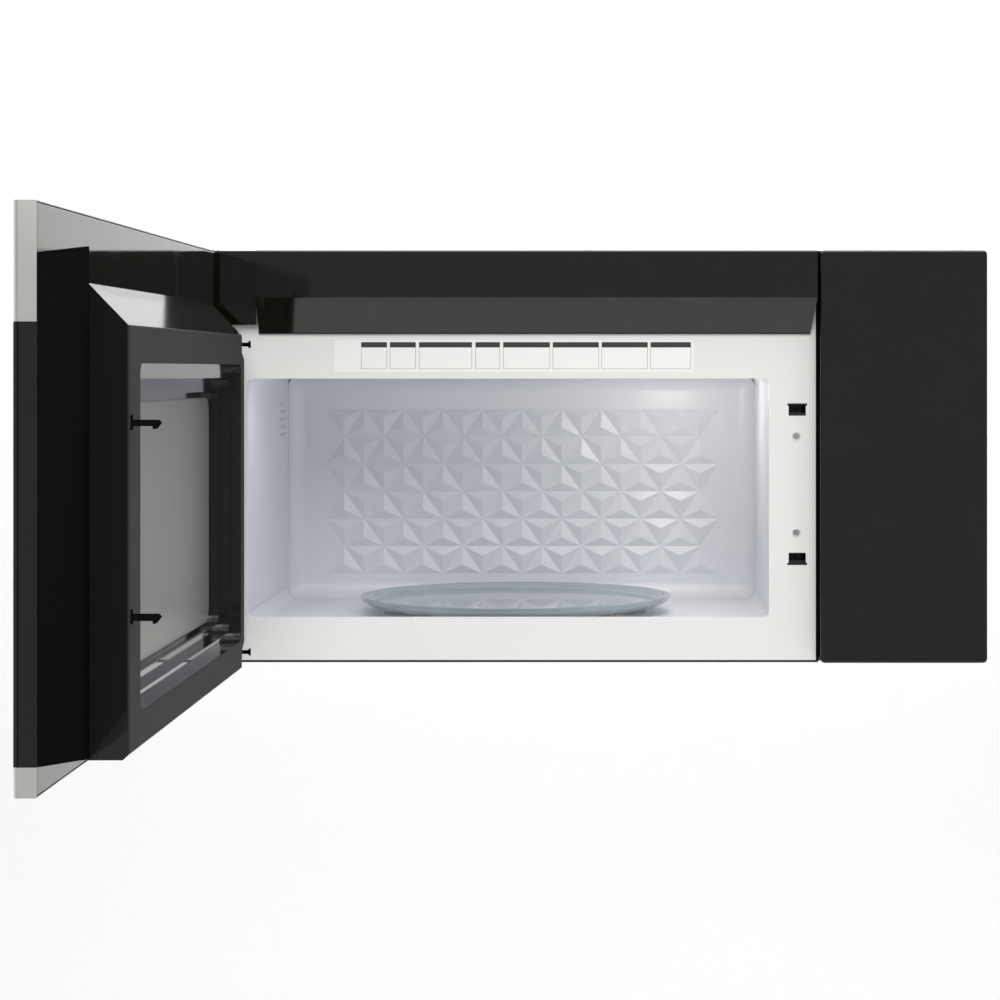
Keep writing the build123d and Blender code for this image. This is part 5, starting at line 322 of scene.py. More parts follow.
def printed_glass(name, colours):
    """Tempered soda-lime glass with ceramic ink fired on its back: wet black gloss. Fine grey dots
    over the window, which shrink towards its edge, make it a shade lighter than the rest."""
    material, tree, mm = start(name)
    fading, dot_pitch, full_dot = 14, 2.4, 0.62
    axes = add(tree, "ShaderNodeSeparateXYZ", {"Vector": mm})
    inside = []
    for axis, low, high in (("Y", SCREEN_LOW.y, SCREEN_HIGH.y), ("Z", SCREEN_LOW.z, SCREEN_HIGH.z)):
        off = add(tree, "ShaderNodeMath", {0: axes.outputs[axis], 1: (low + high) / 2}, operation="SUBTRACT")
        far = add(tree, "ShaderNodeMath", {0: off.outputs[0]}, operation="ABSOLUTE")
        reach = (high - low) / 2
        fade = add(tree, "ShaderNodeMapRange", {"Value": far.outputs[0], "From Min": reach - fading,
                                                "From Max": reach, "To Min": 1.0, "To Max": 0.0})
        inside.append(fade.outputs[0])
    window = add(tree, "ShaderNodeMath", {0: inside[0], 1: inside[1]}, operation="MINIMUM")
    size = add(tree, "ShaderNodeMath", {0: window.outputs[0], 1: full_dot}, operation="MULTIPLY")
    dot = add(tree, "ShaderNodeMath", {0: dot_net(tree, mm, dot_pitch), 1: size.outputs[0]},
              operation="LESS_THAN")
    smear = add(tree, "ShaderNodeTexNoise", {"Vector": mm, "Scale": 1 / 55, "Detail": 4.0}).outputs["Fac"]
    rough = add(tree, "ShaderNodeMapRange",
                {"Value": smear, "From Min": 0.4, "From Max": 0.8, "To Min": 0.02, "To Max": 0.07})
    dress(tree, dot.outputs[0], colours.door_glass, "#2c2d2f", rough.outputs["Result"],
          more={"IOR": 1.52, "Coat Weight": 0.4, "Coat Roughness": 0.02})
    return material


def pressed_glass(name, tint, low, high, through):
    """Pressed soda-lime glass: pale green-grey, with the ripple of fire polishing; what doesn't pass
    through, scatters at its pressed ribs and fine wear."""
    material, tree, mm = start(name)
    ripple = add(tree, "ShaderNodeTexNoise", {"Vector": mm, "Scale": 1 / 22, "Detail": 2.0}).outputs["Fac"]
    rough = add(tree, "ShaderNodeMapRange", {"Value": ripple, "To Min": low, "To Max": high})
    bump = add(tree, "ShaderNodeBump", {"Height": ripple, "Distance": 0.06 * MM, "Strength": 0.3})
    close(tree, {"Base Color": tone(tint), "Roughness": rough.outputs["Result"], "IOR": 1.52,
                 "Transmission Weight": through, "Normal": bump.outputs["Normal"]})
    return material


def reflection_grey_glass(name):
    """Float glass under a matt polyester film, which blurs reflections into a soft veil. Its pale grey base
    colour is a painted reflection of the bright room, which the window mirrors at a slant. The screen's holes
    are drawn 2 mm apart, as on it."""
    material, tree, mm = start(name)
    behind = add(tree, "ShaderNodeMapRange",
                 {"Value": dot_net(tree, mm, 2.0), "From Min": 0.3, "From Max": 0.4})
    cloud = add(tree, "ShaderNodeTexNoise", {"Vector": mm, "Scale": 1 / 90, "Detail": 1.0}).outputs["Fac"]
    # The two greys are a painted reflection of the bright room; the faint dots between them draw the screen's
    # holes.
    dress(tree, behind.outputs["Result"], "#858582", "#8d8d8a", (0.29, 0.33, cloud),
          more={"IOR": 1.52, "Transmission Weight": 0.25})
    return material


def punched_screen(name):
    """Blackened steel sheet punched with small round holes, which keeps the waves in.
    Real holes stand 1.3 mm apart; they are drawn 2 mm apart so that they show."""
    material, tree, mm = start(name)
    sheet = add(tree, "ShaderNodeMapRange",
                {"Value": dot_net(tree, mm, 2.0), "From Min": 0.3, "From Max": 0.36}).outputs["Result"]
    dress(tree, sheet, "#050505", "#4a4a49", 0.42, (sheet, 0.3, 0.8), {"Metallic": 0.6})
    return material


def bright_steel(name):
    """Zinc-plated and passivated steel: bright, a little blue and yellow in patches."""
    material, tree, mm = start(name)
    patch = add(tree, "ShaderNodeTexNoise", {"Vector": mm, "Scale": 1 / 12, "Detail": 3.0}).outputs["Fac"]
    dress(tree, patch, "#b7bcc4", "#cdc9bd", (0.2, 0.36), more={"Metallic": 1.0})
    return material


def drawn_aluminium(name):
    """Bare aluminium, drawn or stretched: soft white metal with short die lines."""
    material, tree, mm = start(name)
    along = add(tree, "ShaderNodeMapping", {"Vector": mm, "Scale": (1 / 0.8, 1 / 20, 1 / 20)})
    lines = add(tree, "ShaderNodeTexNoise", {"Vector": along.outputs["Vector"], "Scale": 1.0, "Detail": 3.0})
    lines = lines.outputs["Fac"]
    dress(tree, lines, "#b9babb", "#dcdddd", (0.28, 0.46), (lines, 0.03, 0.4), {"Metallic": 1.0})
    return material


def natural_nylon(name):
    """Natural nylon, moulded: milky white that lets a little light in, dull where the mould was."""
    material, tree, mm = start(name)
    cloud = add(tree, "ShaderNodeTexNoise", {"Vector": mm, "Scale": 1 / 5, "Detail": 3.0}).outputs["Fac"]
    dress(tree, cloud, "#dcd9cd", "#ece9df", (0.38, 0.55),
          more={"IOR": 1.53, "Subsurface Weight": 0.12, "Subsurface Scale": 1.5 * MM})
    return material


def pressed_mica(name):
    """Mica board, flakes pressed in resin: silvery tan plates 3 mm wide that glint one by one."""
    material, tree, mm = start(name)
    flake = add(tree, "ShaderNodeTexVoronoi", {"Vector": mm, "Scale": 1 / 3})
    chance = add(tree, "ShaderNodeSeparateColor", {"Color": flake.outputs["Color"]}).outputs
    dress(tree, chance["Red"], "#a4998a", "#cdc3b0", (0.25, 0.6, chance["Green"]),
          (chance["Blue"], 0.05, 0.4), {"IOR": 1.58})
    return material


def circuit_laminate(name):
    """Glass-epoxy laminate under green solder mask, with tracks that stand a little proud."""
    material, tree, mm = start(name)
    tracks = add(tree, "ShaderNodeTexVoronoi", {"Vector": mm, "Scale": 1 / 7}, feature="DISTANCE_TO_EDGE")
    line = add(tree, "ShaderNodeMapRange",
               {"Value": tracks.outputs["Distance"], "From Min": 0.06, "From Max": 0.1}).outputs["Result"]
    dress(tree, line, "#2f6b45", "#16402a", 0.3, (line, -0.05, 0.5), {"IOR": 1.55})
    return material


def varnished_core(name):
    """Laminated core and windings dipped in amber varnish: stacked sheets below, wire turns above."""
    material, tree, mm = start(name)
    sheets = add(tree, "ShaderNodeTexWave", {"Vector": mm, "Scale": 1 / 9, "Distortion": 0.3, "Detail": 1.0},
                 bands_direction="Y").outputs["Fac"]
    dress(tree, sheets, "#5a3a22", "#a8723c", 0.32, (sheets, 0.15, 0.6), {"Metallic": 0.5})
    return material


def charcoal_grain(name):
    """Activated charcoal held in cells: dull black granules about 2.5 mm across."""
    material, tree, mm = start(name)
    grain = add(tree, "ShaderNodeTexVoronoi", {"Vector": mm, "Scale": 1 / 2.5}).outputs["Distance"]
    # The tone darkens from each granule's middle towards the sunken gaps between granules: a painted shade in
    # those gaps.
    dress(tree, grain, "#2e2e2e", "#0e0e0e", 0.85, (grain, -0.8, 1.0))
    return material


def moulded_rubber(name):
    """EPDM rubber, compression moulded: soft black with a bloom that greys it in patches."""
    material, tree, mm = start(name)
    bloom = add(tree, "ShaderNodeTexNoise", {"Vector": mm, "Scale": 1 / 4, "Detail": 4.0}).outputs["Fac"]
    dress(tree, bloom, "#161616", "#2a2a2a", (0.55, 0.8), more={"IOR": 1.52})
    return material


def label_film(name):
    """Polyester film with a matt silver back: pale, slightly warm, a fine linen calender mark."""
    material, tree, mm = start(name)
    linen = add(tree, "ShaderNodeTexNoise", {"Vector": mm, "Scale": 1 / 0.8, "Detail": 1.0}).outputs["Fac"]
    dress(tree, linen, "#f0efed", "#f6f5f3", 0.45, (linen, 0.01, 0.5), {"IOR": 1.58})
    return material


def printed_ink(name):
    """Screen ink printed on film: flat black, a little thin where the squeegee lifted."""
    material, tree, mm = start(name)
    thin = add(tree, "ShaderNodeTexNoise", {"Vector": mm, "Scale": 1 / 1.5, "Detail": 2.0}).outputs["Fac"]
    dress(tree, thin, "#232323", "#3a3a3a", 0.6, more={"IOR": 1.5})
    return material


def studio_paper(name, colour):
    """Seamless studio paper: plain, pale and matt, with faint fibre."""
    material, tree, mm = start(name)
    fibre = add(tree, "ShaderNodeTexNoise", {"Vector": mm, "Scale": 1 / 6, "Detail": 2.0}).outputs["Fac"]
    dress(tree, fibre, tone(colour, 0.99), tone(colour, 1.01), 0.9)
    return material


def coat(material, *nodes):
    """Gives carried-over nodes of the frame one finish."""
    for node in nodes:
        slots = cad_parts[node].material_slots
        if not slots:
            raise RuntimeError(f"{node} has no material slot")
        for slot in slots:
            slot.material = material


def made(name, build, *values):
    """The finish of that name, made the first time it is asked for."""
    return bpy.data.materials.get(name) or build(name, *values)


# Finishes that the scene's own pieces share with the frame's nodes.
def black_coat(colours):
    return made("powder_coated_sheet_black", powder_coat, colours)


def etched():
    return made("deep_etched_abs_black", deep_etched_abs)


def plated():
    return made("bright_zinc_plated_steel", bright_steel)


def bare_aluminium():
    return made("drawn_aluminium", drawn_aluminium)


def frosted():
    return made("frosted_lens_glass", pressed_glass, "#eef0ee", 0.3, 0.42, 0.8)


# ------------------------------------------------------------------ modelling helpers
def unselect():
    """Nothing selected."""
    for other in bpy.context.selected_objects:
        other.select_set(False)


def alone(piece):
    """Nothing selected but this piece, which is active."""
    unselect()
    piece.select_set(True)
    bpy.context.view_layer.objects.active = piece


def settle(piece):
    """Puts the piece's place into its mesh, so that its object sits at the origin."""
    alone(piece)
    bpy.ops.object.transform_apply(location=True, rotation=True, scale=True)


def primitive(name, adding, scale=(1, 1, 1), **settings):
    """One primitive at its size and place, ready to be shaped."""
    unselect()
    adding(**settings)
    piece = bpy.context.object
    piece.name = name
    piece.scale = scale
    settle(piece)
    return piece


def block(name, low, high):
    """A cube primitive between two corners given in millimetres."""
    low, high = Vector(low) * MM, Vector(high) * MM
    return primitive(name, bpy.ops.mesh.primitive_cube_add, high - low, size=1, location=(low + high) / 2)


def edit(piece):
    """Opens the piece in edit mode."""
    alone(piece)
    bpy.ops.object.mode_set(mode="EDIT")


def pick(kind, test):
    """In edit mode, selects the faces, edges or vertices that pass the test."""
    bpy.ops.mesh.select_mode(type=kind)
    bpy.ops.mesh.select_all(action="DESELECT")
    mesh = bmesh.from_edit_mesh(bpy.context.object.data)
    mesh.select_mode = {kind}
    mesh.normal_update()
    found = [item for item in {"FACE": mesh.faces, "EDGE": mesh.edges, "VERT": mesh.verts}[kind] if test(item)]
    for item in found:
        item.select_set(True)
    mesh.select_flush_mode()
    bmesh.update_edit_mesh(bpy.context.object.data)
    if not found:
        raise RuntimeError(f"nothing to select on {bpy.context.object.name}")


def facing(direction, level=None):
    """A test for faces that look one way, and lie at a level along it in millimetres."""
    way, slack = Vector(direction), 0.05

    def test(face):
        at_level = level is None or abs(face.calc_center_median().dot(way) / MM - level) < slack
        return at_level and face.normal.dot(way) >= 0.9

    return test


def running(direction):
    """A test for edges that run one way."""
    way = Vector(direction)
    return lambda edge: abs((edge.verts[0].co - edge.verts[1].co).normalized().dot(way)) > 0.99


def round_edges(test, radius, segments):
    """Bevels the edges that pass the test by a radius in millimetres."""
    pick("EDGE", test)
    bpy.ops.mesh.bevel(offset=radius * MM, segments=segments, affect="EDGES")


def leave(piece, material, body, angle=35):
    """Ends the shaping of a piece and hands it to its body with its finish."""
    if bpy.context.object.mode == "EDIT":
        bpy.ops.object.mode_set(mode="OBJECT")
    alone(piece)
    bpy.ops.object.shade_smooth_by_angle(angle=math.radians(angle))
    piece.data.materials.clear()
    piece.data.materials.append(material)
    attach(piece, body)
    return piece


def copied(piece, name, shift=(0, 0, 0), mirror_x=False):
    """A copy with its own mesh, moved by millimetres or mirrored across the middle of the cabinet."""
    twin = piece.copy()
    twin.data = piece.data.copy()
    twin.name = name
    bpy.context.scene.collection.objects.link(twin)
    if mirror_x:
        twin.data.transform(Matrix.Scale(-1, 4, (1, 0, 0)))
        edit(twin)
        bpy.ops.mesh.select_all(action="SELECT")
        bpy.ops.mesh.normals_make_consistent(inside=False)
        bpy.ops.object.mode_set(mode="OBJECT")
    twin.data.transform(Matrix.Translation(Vector(shift) * MM))
    return twin


# ------------------------------------------------------------------ operators: finishes
class MICROWAVE_OT_cabinet_finish(bpy.types.Operator):
    """Powder coat, zinc and enamel on the cabinet's sheets"""
    bl_idname = "microwave.cabinet_finish"
    bl_label = "Cabinet finishes"

    def execute(self, context):
        colours = context.scene.microwave_colours
        coat(black_coat(colours), "outer_wrap", "base_plate", "blower_motor")
        coat(made("galvanised_steel_sheet", galvanised, colours),
             "rear_plate", "component_shelf", "exhaust_adapter", "waveguide", "blower_housing",
             "upper_hinge", "lower_hinge", "turntable_motor", "fan_motor", "cavity_lamp", "choke_frame")
        coat(made("face_frame_white_enamel", fired_enamel, colours.frame_enamel, 0.008, 0.34), "face_frame")
        coat(made("moulded_epdm_rubber", moulded_rubber), "cord_grommet")
        coat(made("activated_charcoal_granules", charcoal_grain), "charcoal_filter")
        coat(bare_aluminium(), "damper_flap", "cooktop_lamps", "grease_filter_left", "grease_filter_right",
             "high_voltage_capacitor")
        coat(frosted(), "cooktop_lenses")
        return {"FINISHED"}


class MICROWAVE_OT_cavity_finish(bpy.types.Operator):
    """Blue-grey enamel, mica and turntable of the oven"""
    bl_idname = "microwave.cavity_finish"
    bl_label = "Cavity finishes"

    def execute(self, context):
        colours = context.scene.microwave_colours
        coat(made("cavity_blue_grey_enamel", fired_enamel, colours.cavity_enamel, 0.008, 0.31),
             "cavity_wrap", "cavity_floor", "cavity_back")
        coat(made("pressed_mica_board", pressed_mica), "waveguide_cover")
        coat(made("pressed_soda_lime_glass", pressed_glass, "#cfdbe0", 0.03, 0.09, 0.6), "glass_tray")
        coat(made("natural_moulded_nylon", natural_nylon), "turntable_coupler", "roller_ring", "roller_1",
             "roller_2", "roller_3", "cooling_fan", "door_bushings")
        return {"FINISHED"}


class MICROWAVE_OT_front_finish(bpy.types.Operator):
    """Gloss mouldings, glass and stainless of the front and the door"""
    bl_idname = "microwave.front_finish"
    bl_label = "Front and door finishes"

    def execute(self, context):
        colours = context.scene.microwave_colours
        coat(made("gloss_moulded_abs_black", gloss_abs, colours),
             "right_panel", "top_trim", "door_frame", "hinge_cover")
        coat(made("part_grained_abs_black", grained_cover), "choke_cover")
        coat(etched(), "latch_lever")
        coat(made("satin_moulded_abs_black", satin_abs), "latch_switches", "latch_housing",
             "upper_plunger", "lower_plunger", "fan_shroud", "blower_wheels")
        coat(made("brushed_stainless_sheet", brushed_stainless, colours), "door_top_band", "door_bottom_band")
        coat(made("tempered_glass_back_printed", printed_glass, colours), "door_glass")
        coat(made("filmed_window_glass", reflection_grey_glass), "inner_window")
        coat(made("punched_steel_screen", punched_screen), "window_screen")
        return {"FINISHED"}


class MICROWAVE_OT_machinery_finish(bpy.types.Operator):
    """Metals, boards and windings of the machinery"""
    bl_idname = "microwave.machinery_finish"
    bl_label = "Machinery finishes"

    def execute(self, context):
        coat(plated(), "magnetron", "frame_screws", "latch_spring")
        coat(made("glass_epoxy_laminate", circuit_laminate), "power_board", "control_board", "touch_board")
        coat(made("varnished_laminations", varnished_core), "high_voltage_transformer")
        return {"FINISHED"}


# ------------------------------------------------------------------ operators: small pieces
class MICROWAVE_OT_blank_chart(bpy.types.Operator):
    """Film chart on the face frame over the oven: printed heads and boxes, without any words"""
    bl_idname = "microwave.blank_chart"
    bl_label = "Blank chart"

    def execute(self, context):
        sizes = context.scene.microwave_sizes
        length, height = sizes.chart_length / MM, sizes.chart_height / MM
        middle_x, middle_z = -69.5, 94.9
        left, top = middle_x - length / 2, middle_z + height / 2
        front = FRAME_LOW.y
        film = made("matt_polyester_film", label_film)
        ink = made("screen_printed_ink", printed_ink)
        plate = block("chart_film", (left, front - 0.25, top - height), (left + length, front, top))
        edit(plate)
        round_edges(running((0, 1, 0)), 2.0, 4)
        pick("FACE", facing((0, -1, 0)))
        bpy.ops.mesh.inset(thickness=0.12 * MM, depth=0.05 * MM)
        leave(plate, film, "cabinet", 20)
        # The print lies on the raised field. Each column has its start and width as shares of the
        # plate's length.
        face = front - 0.30
        back = face + 0.02
        columns = ((0.075, 0.072), (0.155, 0.072), (0.236, 0.147), (0.393, 0.068), (0.470, 0.130),
                   (0.608, 0.128), (0.744, 0.128), (0.880, 0.112))
        for number, (begin, wide) in enumerate(columns, 1):
            x0, x1 = left + begin * length, left + (begin + wide) * length
            head = block(f"chart_head_{number}", (x0, face - 0.06, top - 7.0), (x1, back, top - 2.0))
            edit(head)
            round_edges(running((0, 1, 0)), 0.5, 2)
            leave(head, ink, "cabinet", 20)
            box = block(f"chart_box_{number}", (x0, face - 0.04, top - height + 3.4), (x1, back, top - 6.8))
            edit(box)
            pick("FACE", facing((0, -1, 0)))
            bpy.ops.mesh.inset(thickness=0.28 * MM, depth=0.01 * MM)
            leave(box, ink, "cabinet", 20)
            box.data.materials.append(film)
            field = min(box.data.polygons, key=lambda p: (round(p.center.y, 6), -p.area))
            field.material_index = 1
        return {"FINISHED"}


class MICROWAVE_OT_end_cover(bpy.types.Operator):
    """Dull black cover over the free end of the door's back, beside the choke"""
    bl_idname = "microwave.end_cover"
    bl_label = "Door end cover"

    def execute(self, context):
        back = CHOKE_LOW.x
        free, inner = DOOR_LOW.y + 0.8, CHOKE_LOW.y - 0.6
        top_at_free_end, rise_at_choke = 160.0, 11.5
        drop_at_choke = DOOR_LOW.z + 0.6 - BAND_TOP
        cover = block("door_end_cover", (back - 0.4, free, BAND_TOP), (back + 0.8, inner, top_at_free_end))
        edit(cover)
        # The cover widens towards the choke, above and below.
        pick("VERT", lambda v: v.co.y > (inner - 1) * MM and v.co.z > 0)
        bpy.ops.transform.translate(value=(0, 0, rise_at_choke * MM))
        pick("VERT", lambda v: v.co.y > (inner - 1) * MM and v.co.z < 0)
        bpy.ops.transform.translate(value=(0, 0, drop_at_choke * MM))
        round_edges(running((1, 0, 0)), 1.5, 3)
        pick("FACE", facing((1, 0, 0)))
        bpy.ops.mesh.inset(thickness=0.5 * MM, depth=0)
        bpy.ops.transform.translate(value=(0.25 * MM, 0, 0))
        leave(cover, etched(), "door")
        return {"FINISHED"}


class MICROWAVE_OT_black_seams(bpy.types.Operator):
    """Dead-black strip in the gap beside the fixed panel, a painted shade in that gap, and the lip under the
    face frame
    """
    bl_idname = "microwave.black_seams"
    bl_label = "Shade strip and base lip"

    def execute(self, context):
        # The dead-black strip paints the shade that falls in the gap between the face frame and the fixed
        # panel.
        strip = block("panel_gap_shade_strip", (FRAME_HIGH.x, FRAME_LOW.y - 0.6, PANEL_LOW.z + 0.2),
                      (PANEL_LOW.x, FRAME_LOW.y + 6.0, PANEL_HIGH.z - 0.2))
        edit(strip)
        round_edges(lambda e: running((0, 0, 1))(e) and all(v.co.y < FRAME_LOW.y * MM for v in e.verts), 0.4, 2)
        # A narrower tongue at the rear clips the strip behind the frame.
        pick("FACE", facing((0, 1, 0)))
        bpy.ops.mesh.inset(thickness=0.4 * MM, depth=0)
        bpy.ops.mesh.extrude_region_move(TRANSFORM_OT_translate={"value": (0, 2.0 * MM, 0)})
        leave(strip, etched(), "cabinet")
        lip = block("base_front_lip", (FRAME_LOW.x + 0.6, FRAME_LOW.y + 0.1, WRAP_LOW.z - 1.5),
                    (FRAME_HIGH.x + 2.4, FRAME_LOW.y + 9.0, WRAP_LOW.z))
        edit(lip)
        lower = (WRAP_LOW.z - 1) * MM
        round_edges(lambda e: running((1, 0, 0))(e) and all(v.co.z < lower for v in e.verts), 0.6, 3)
        leave(lip, black_coat(context.scene.microwave_colours), "cabinet")
        return {"FINISHED"}


class MICROWAVE_OT_frame_screws(bpy.types.Operator):
    """Star-drive screws of the latch box, which take the place of the plain ones"""
    bl_idname = "microwave.frame_screws"
    bl_label = "Face frame screws"

    def execute(self, context):
        low, high = box_mm("frame_screws")
        radius, middle = (high.x - low.x) / 2, (low.x + high.x) / 2
        rise = FRAME_LOW.y - low.y
        rim, star = 0.8, 1.7
        top = (low.y + 0.01) * MM
        screw = primitive(
            "frame_screw_middle", bpy.ops.mesh.primitive_cylinder_add, vertices=24, radius=radius * MM,
            depth=rise * MM, rotation=(math.pi / 2, 0, 0),
            location=(middle * MM, (FRAME_LOW.y - rise / 2) * MM, 0))
        edit(screw)
        round_edges(lambda e: all(v.co.y < top for v in e.verts), rim, 4)
        pick("FACE", lambda f: f.normal.y < -0.99 and f.calc_center_median().y < top)
        bpy.ops.mesh.inset(thickness=(radius - rim - star) * MM, depth=0)
        bpy.ops.mesh.inset(thickness=0.02 * MM, depth=0)

        # Every second pair of corners drawn in makes the six points of the star.
        def inward(vert):
            away = Vector((vert.co.x - middle * MM, 0, vert.co.z))
            turn = round(math.degrees(math.atan2(away.z, away.x)) / 15) % 4
            return away.length < (star - 0.01) * MM and turn in (2, 3)

        def recess(face):
            centre = face.calc_center_median()
            return (face.normal.y < -0.99 and len(face.verts) == 24
                    and (centre - Vector((middle * MM, low.y * MM, 0))).length < 0.3 * MM
                    and max((v.co - centre).length for v in face.verts) < (star + 0.05) * MM)

        pick("VERT", inward)
        bpy.ops.transform.resize(value=(0.62, 1, 0.62), center_override=(middle * MM, 0, 0))
        pick("FACE", recess)
        bpy.ops.mesh.extrude_region_move(TRANSFORM_OT_translate={"value": (0, 0.9 * MM, 0)})
        bpy.ops.object.mode_set(mode="OBJECT")
        for name, level in (("frame_screw_upper", high.z - radius), ("frame_screw_lower", low.z + radius)):
            piece = leave(copied(screw, name, (0, 0, level)), bpy.data.materials["face_frame_white_enamel"],
                          "cabinet")
            piece.data.materials.append(plated())
            # The driver wore the coat off the recess and the flat round it.
            for polygon in piece.data.polygons:
                off = Vector((polygon.center.x - middle * MM, 0, polygon.center.z - level * MM))
                if off.length < 2.6 * MM:
                    polygon.material_index = 1
            if name == "frame_screw_upper":
                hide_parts("frame_screws")
        bpy.data.objects.remove(screw)
        return {"FINISHED"}


class MICROWAVE_OT_cabinet_screws(bpy.types.Operator):
    """Pan-head screws that hold the wrap to the base and the top brackets"""
    bl_idname = "microwave.cabinet_screws"
    bl_label = "Cabinet screws"

    def execute(self, context):
        radius = context.scene.microwave_sizes.screw_head / MM / 2
        rise, dome, socket = 1.7, 1.1, 1.4
        screw = primitive("screw_pattern", bpy.ops.mesh.primitive_cylinder_add, vertices=24, radius=radius * MM,
                          depth=rise * MM, location=(0, 0, rise / 2 * MM))
        edit(screw)
        # Domed rim, then a round socket for the driver.
        round_edges(lambda e: all(v.co.z > (rise - 0.01) * MM for v in e.verts), dome, 4)
        pick("FACE", facing((0, 0, 1), rise))
        bpy.ops.mesh.inset(thickness=(radius - dome - socket) * MM, depth=0)
        bpy.ops.mesh.extrude_region_move(TRANSFORM_OT_translate={"value": (0, 0, -1.0 * MM)})
        bpy.ops.object.mode_set(mode="OBJECT")
        front, rear = WRAP_LOW.y + 14, WRAP_HIGH.y - 16
        right, edge = WRAP_HIGH.x - 22, WRAP_HIGH.x - 10
        top = [(-right, front), (0, front), (right, front), (-right, rear), (right, rear)]
        for number, (x, y) in enumerate(top, 1):
            leave(copied(screw, f"top_screw_{number}", (x, y, WRAP_HIGH.z)), plated(), "cabinet")
        under = [(side * edge, y) for side in (-1, 1) for y in (front, (front + rear) / 2, rear)]
        screw.data.transform(Matrix.Rotation(math.pi, 4, "X"))
        for number, (x, y) in enumerate(under, 1):
            leave(copied(screw, f"base_screw_{number}", (x, y, WRAP_LOW.z)), plated(), "cabinet")
        bpy.data.objects.remove(screw)
        return {"FINISHED"}


class MICROWAVE_OT_filter_mesh(bpy.types.Operator):
    """Expanded aluminium mesh and a pull tab on each grease filter"""
    bl_idname = "microwave.filter_mesh"
    bl_label = "Filter mesh and pulls"

    def execute(self, context):
        sizes = context.scene.microwave_sizes
        rim, sink = 9.0, 2.0
        diamond_length, diamond_width = 6.4, 6.2
        low, high = FILTER_LOW, FILTER_HIGH
        length, width = high.x - low.x - 2 * rim - 1, high.y - low.y - 2 * rim - 1
        middle = (low + high) / 2
        level = low.z + sink - sizes.mesh_strand / MM / 2
        mesh = primitive(
            "filter_mesh_right", bpy.ops.mesh.primitive_grid_add, (length * MM, width * MM, 1), size=1,
            x_subdivisions=int(length / diamond_length), y_subdivisions=int(width / diamond_width),
            location=(middle.x * MM, middle.y * MM, level * MM))
        # Poked squares lose their sides and become the diamonds of expanded metal.
        corners = len(mesh.data.vertices)
        edit(mesh)
        bpy.ops.mesh.select_all(action="SELECT")
        bpy.ops.mesh.poke()
        pick("EDGE", lambda e: not e.is_boundary and all(v.index < corners for v in e.verts))
        bpy.ops.mesh.dissolve_edges(use_verts=False)
        bpy.ops.object.mode_set(mode="OBJECT")
        strands = mesh.modifiers.new("strands", "WIREFRAME")
        strands.thickness = sizes.mesh_strand
        strands.use_replace = True
        strands.use_boundary = True
        bpy.ops.object.modifier_apply(modifier="strands")
        self.hang(mesh)

        # Pull tab: a folded strip with a finger hole, rounded at its lower corners.
        half = sizes.pull_width / MM / 2
        root, drop = low.x + rim + 1.0, 4.6
        tab = block("filter_pull_right", (root, middle.y - half, low.z - drop),
                    (root + 1.0, middle.y + half, low.z + sink))
        edit(tab)
        round_edges(lambda e: running((1, 0, 0))(e) and all(v.co.z < (low.z - 4) * MM for v in e.verts), 2.2, 4)
        pick("FACE", lambda f: abs(f.normal.x) > 0.9)
        bpy.ops.mesh.inset(thickness=1.7 * MM, depth=0, use_individual=True)
        bpy.ops.mesh.bridge_edge_loops()
        bpy.ops.object.mode_set(mode="OBJECT")
        softened = tab.modifiers.new("softened", "BEVEL")
        softened.width = 0.2 * MM
        softened.segments = 2
        bpy.ops.object.modifier_apply(modifier="softened")
        self.hang(tab)
        return {"FINISHED"}

    def hang(self, piece):
        """Gives the right filter its piece and the left filter the mirrored one."""
        twin = copied(piece, piece.name.replace("right", "left"), mirror_x=True)
        leave(piece, bare_aluminium(), "right_filter")
        leave(twin, bare_aluminium(), "left_filter")


class MICROWAVE_OT_lens_ribs(bpy.types.Operator):
    """Prism ribs under both cooktop lenses, which spread the lamps' light"""
    bl_idname = "microwave.lens_ribs"
    bl_label = "Cooktop lens ribs"

    def execute(self, context):
        half_ribs = 2 * context.scene.microwave_sizes.lens_ribs
        length, width, depth = 84.0, 33.0, 1.1
        middle_x, middle_y = LENS_HIGH.x - 48.0, (LENS_LOW.y + LENS_HIGH.y) / 2
        ribbed = primitive(
            "lens_ribs_right", bpy.ops.mesh.primitive_grid_add, (length * MM, width * MM, 1), size=1,
            x_subdivisions=half_ribs, y_subdivisions=1,
            location=(middle_x * MM, middle_y * MM, (LENS_LOW.z - 0.05) * MM))
        left, pitch = middle_x - length / 2, length / half_ribs
        edit(ribbed)
        pick("VERT", lambda v: round((v.co.x / MM - left) / pitch) % 2 == 1)
        bpy.ops.transform.translate(value=(0, 0, -depth * MM))
        bpy.ops.object.mode_set(mode="OBJECT")
        wall = ribbed.modifiers.new("wall", "SOLIDIFY")
        wall.thickness = 0.4 * MM
        wall.offset = 0
        bpy.ops.object.modifier_apply(modifier="wall")
        for piece in (copied(ribbed, "lens_ribs_left", mirror_x=True), ribbed):
            leave(piece, frosted(), "cabinet", 10)
        return {"FINISHED"}


# ------------------------------------------------------------------ stage
def paper_floor(stage):
    """Paper that runs under the oven and rises behind it in one curve."""
    level = CAD_BOX[0].z - stage.floor_gap
    width, depth, centre_y, wall_height, curve = 16, 14, -3, 7, 1.6
    rear = centre_y + depth / 2 - 0.1
    sweep = primitive("paper_sweep", bpy.ops.mesh.primitive_plane_add, (width, depth, 1), size=1,
                      location=(0, centre_y, level))
    edit(sweep)
    pick("EDGE", lambda e: all(v.co.y > rear for v in e.verts))
    bpy.ops.mesh.extrude_edges_move(TRANSFORM_OT_translate={"value": (0, 0, wall_height)})
    pick("EDGE", lambda e: all(v.co.y > rear and v.co.z < level + 0.1 for v in e.verts))
    bpy.ops.mesh.bevel(offset=curve, segments=12, affect="EDGES")
    bpy.ops.object.mode_set(mode="OBJECT")
    bpy.ops.object.shade_smooth_by_angle(angle=math.radians(40))
    sweep.data.materials.append(studio_paper("studio_paper", stage.floor_colour))


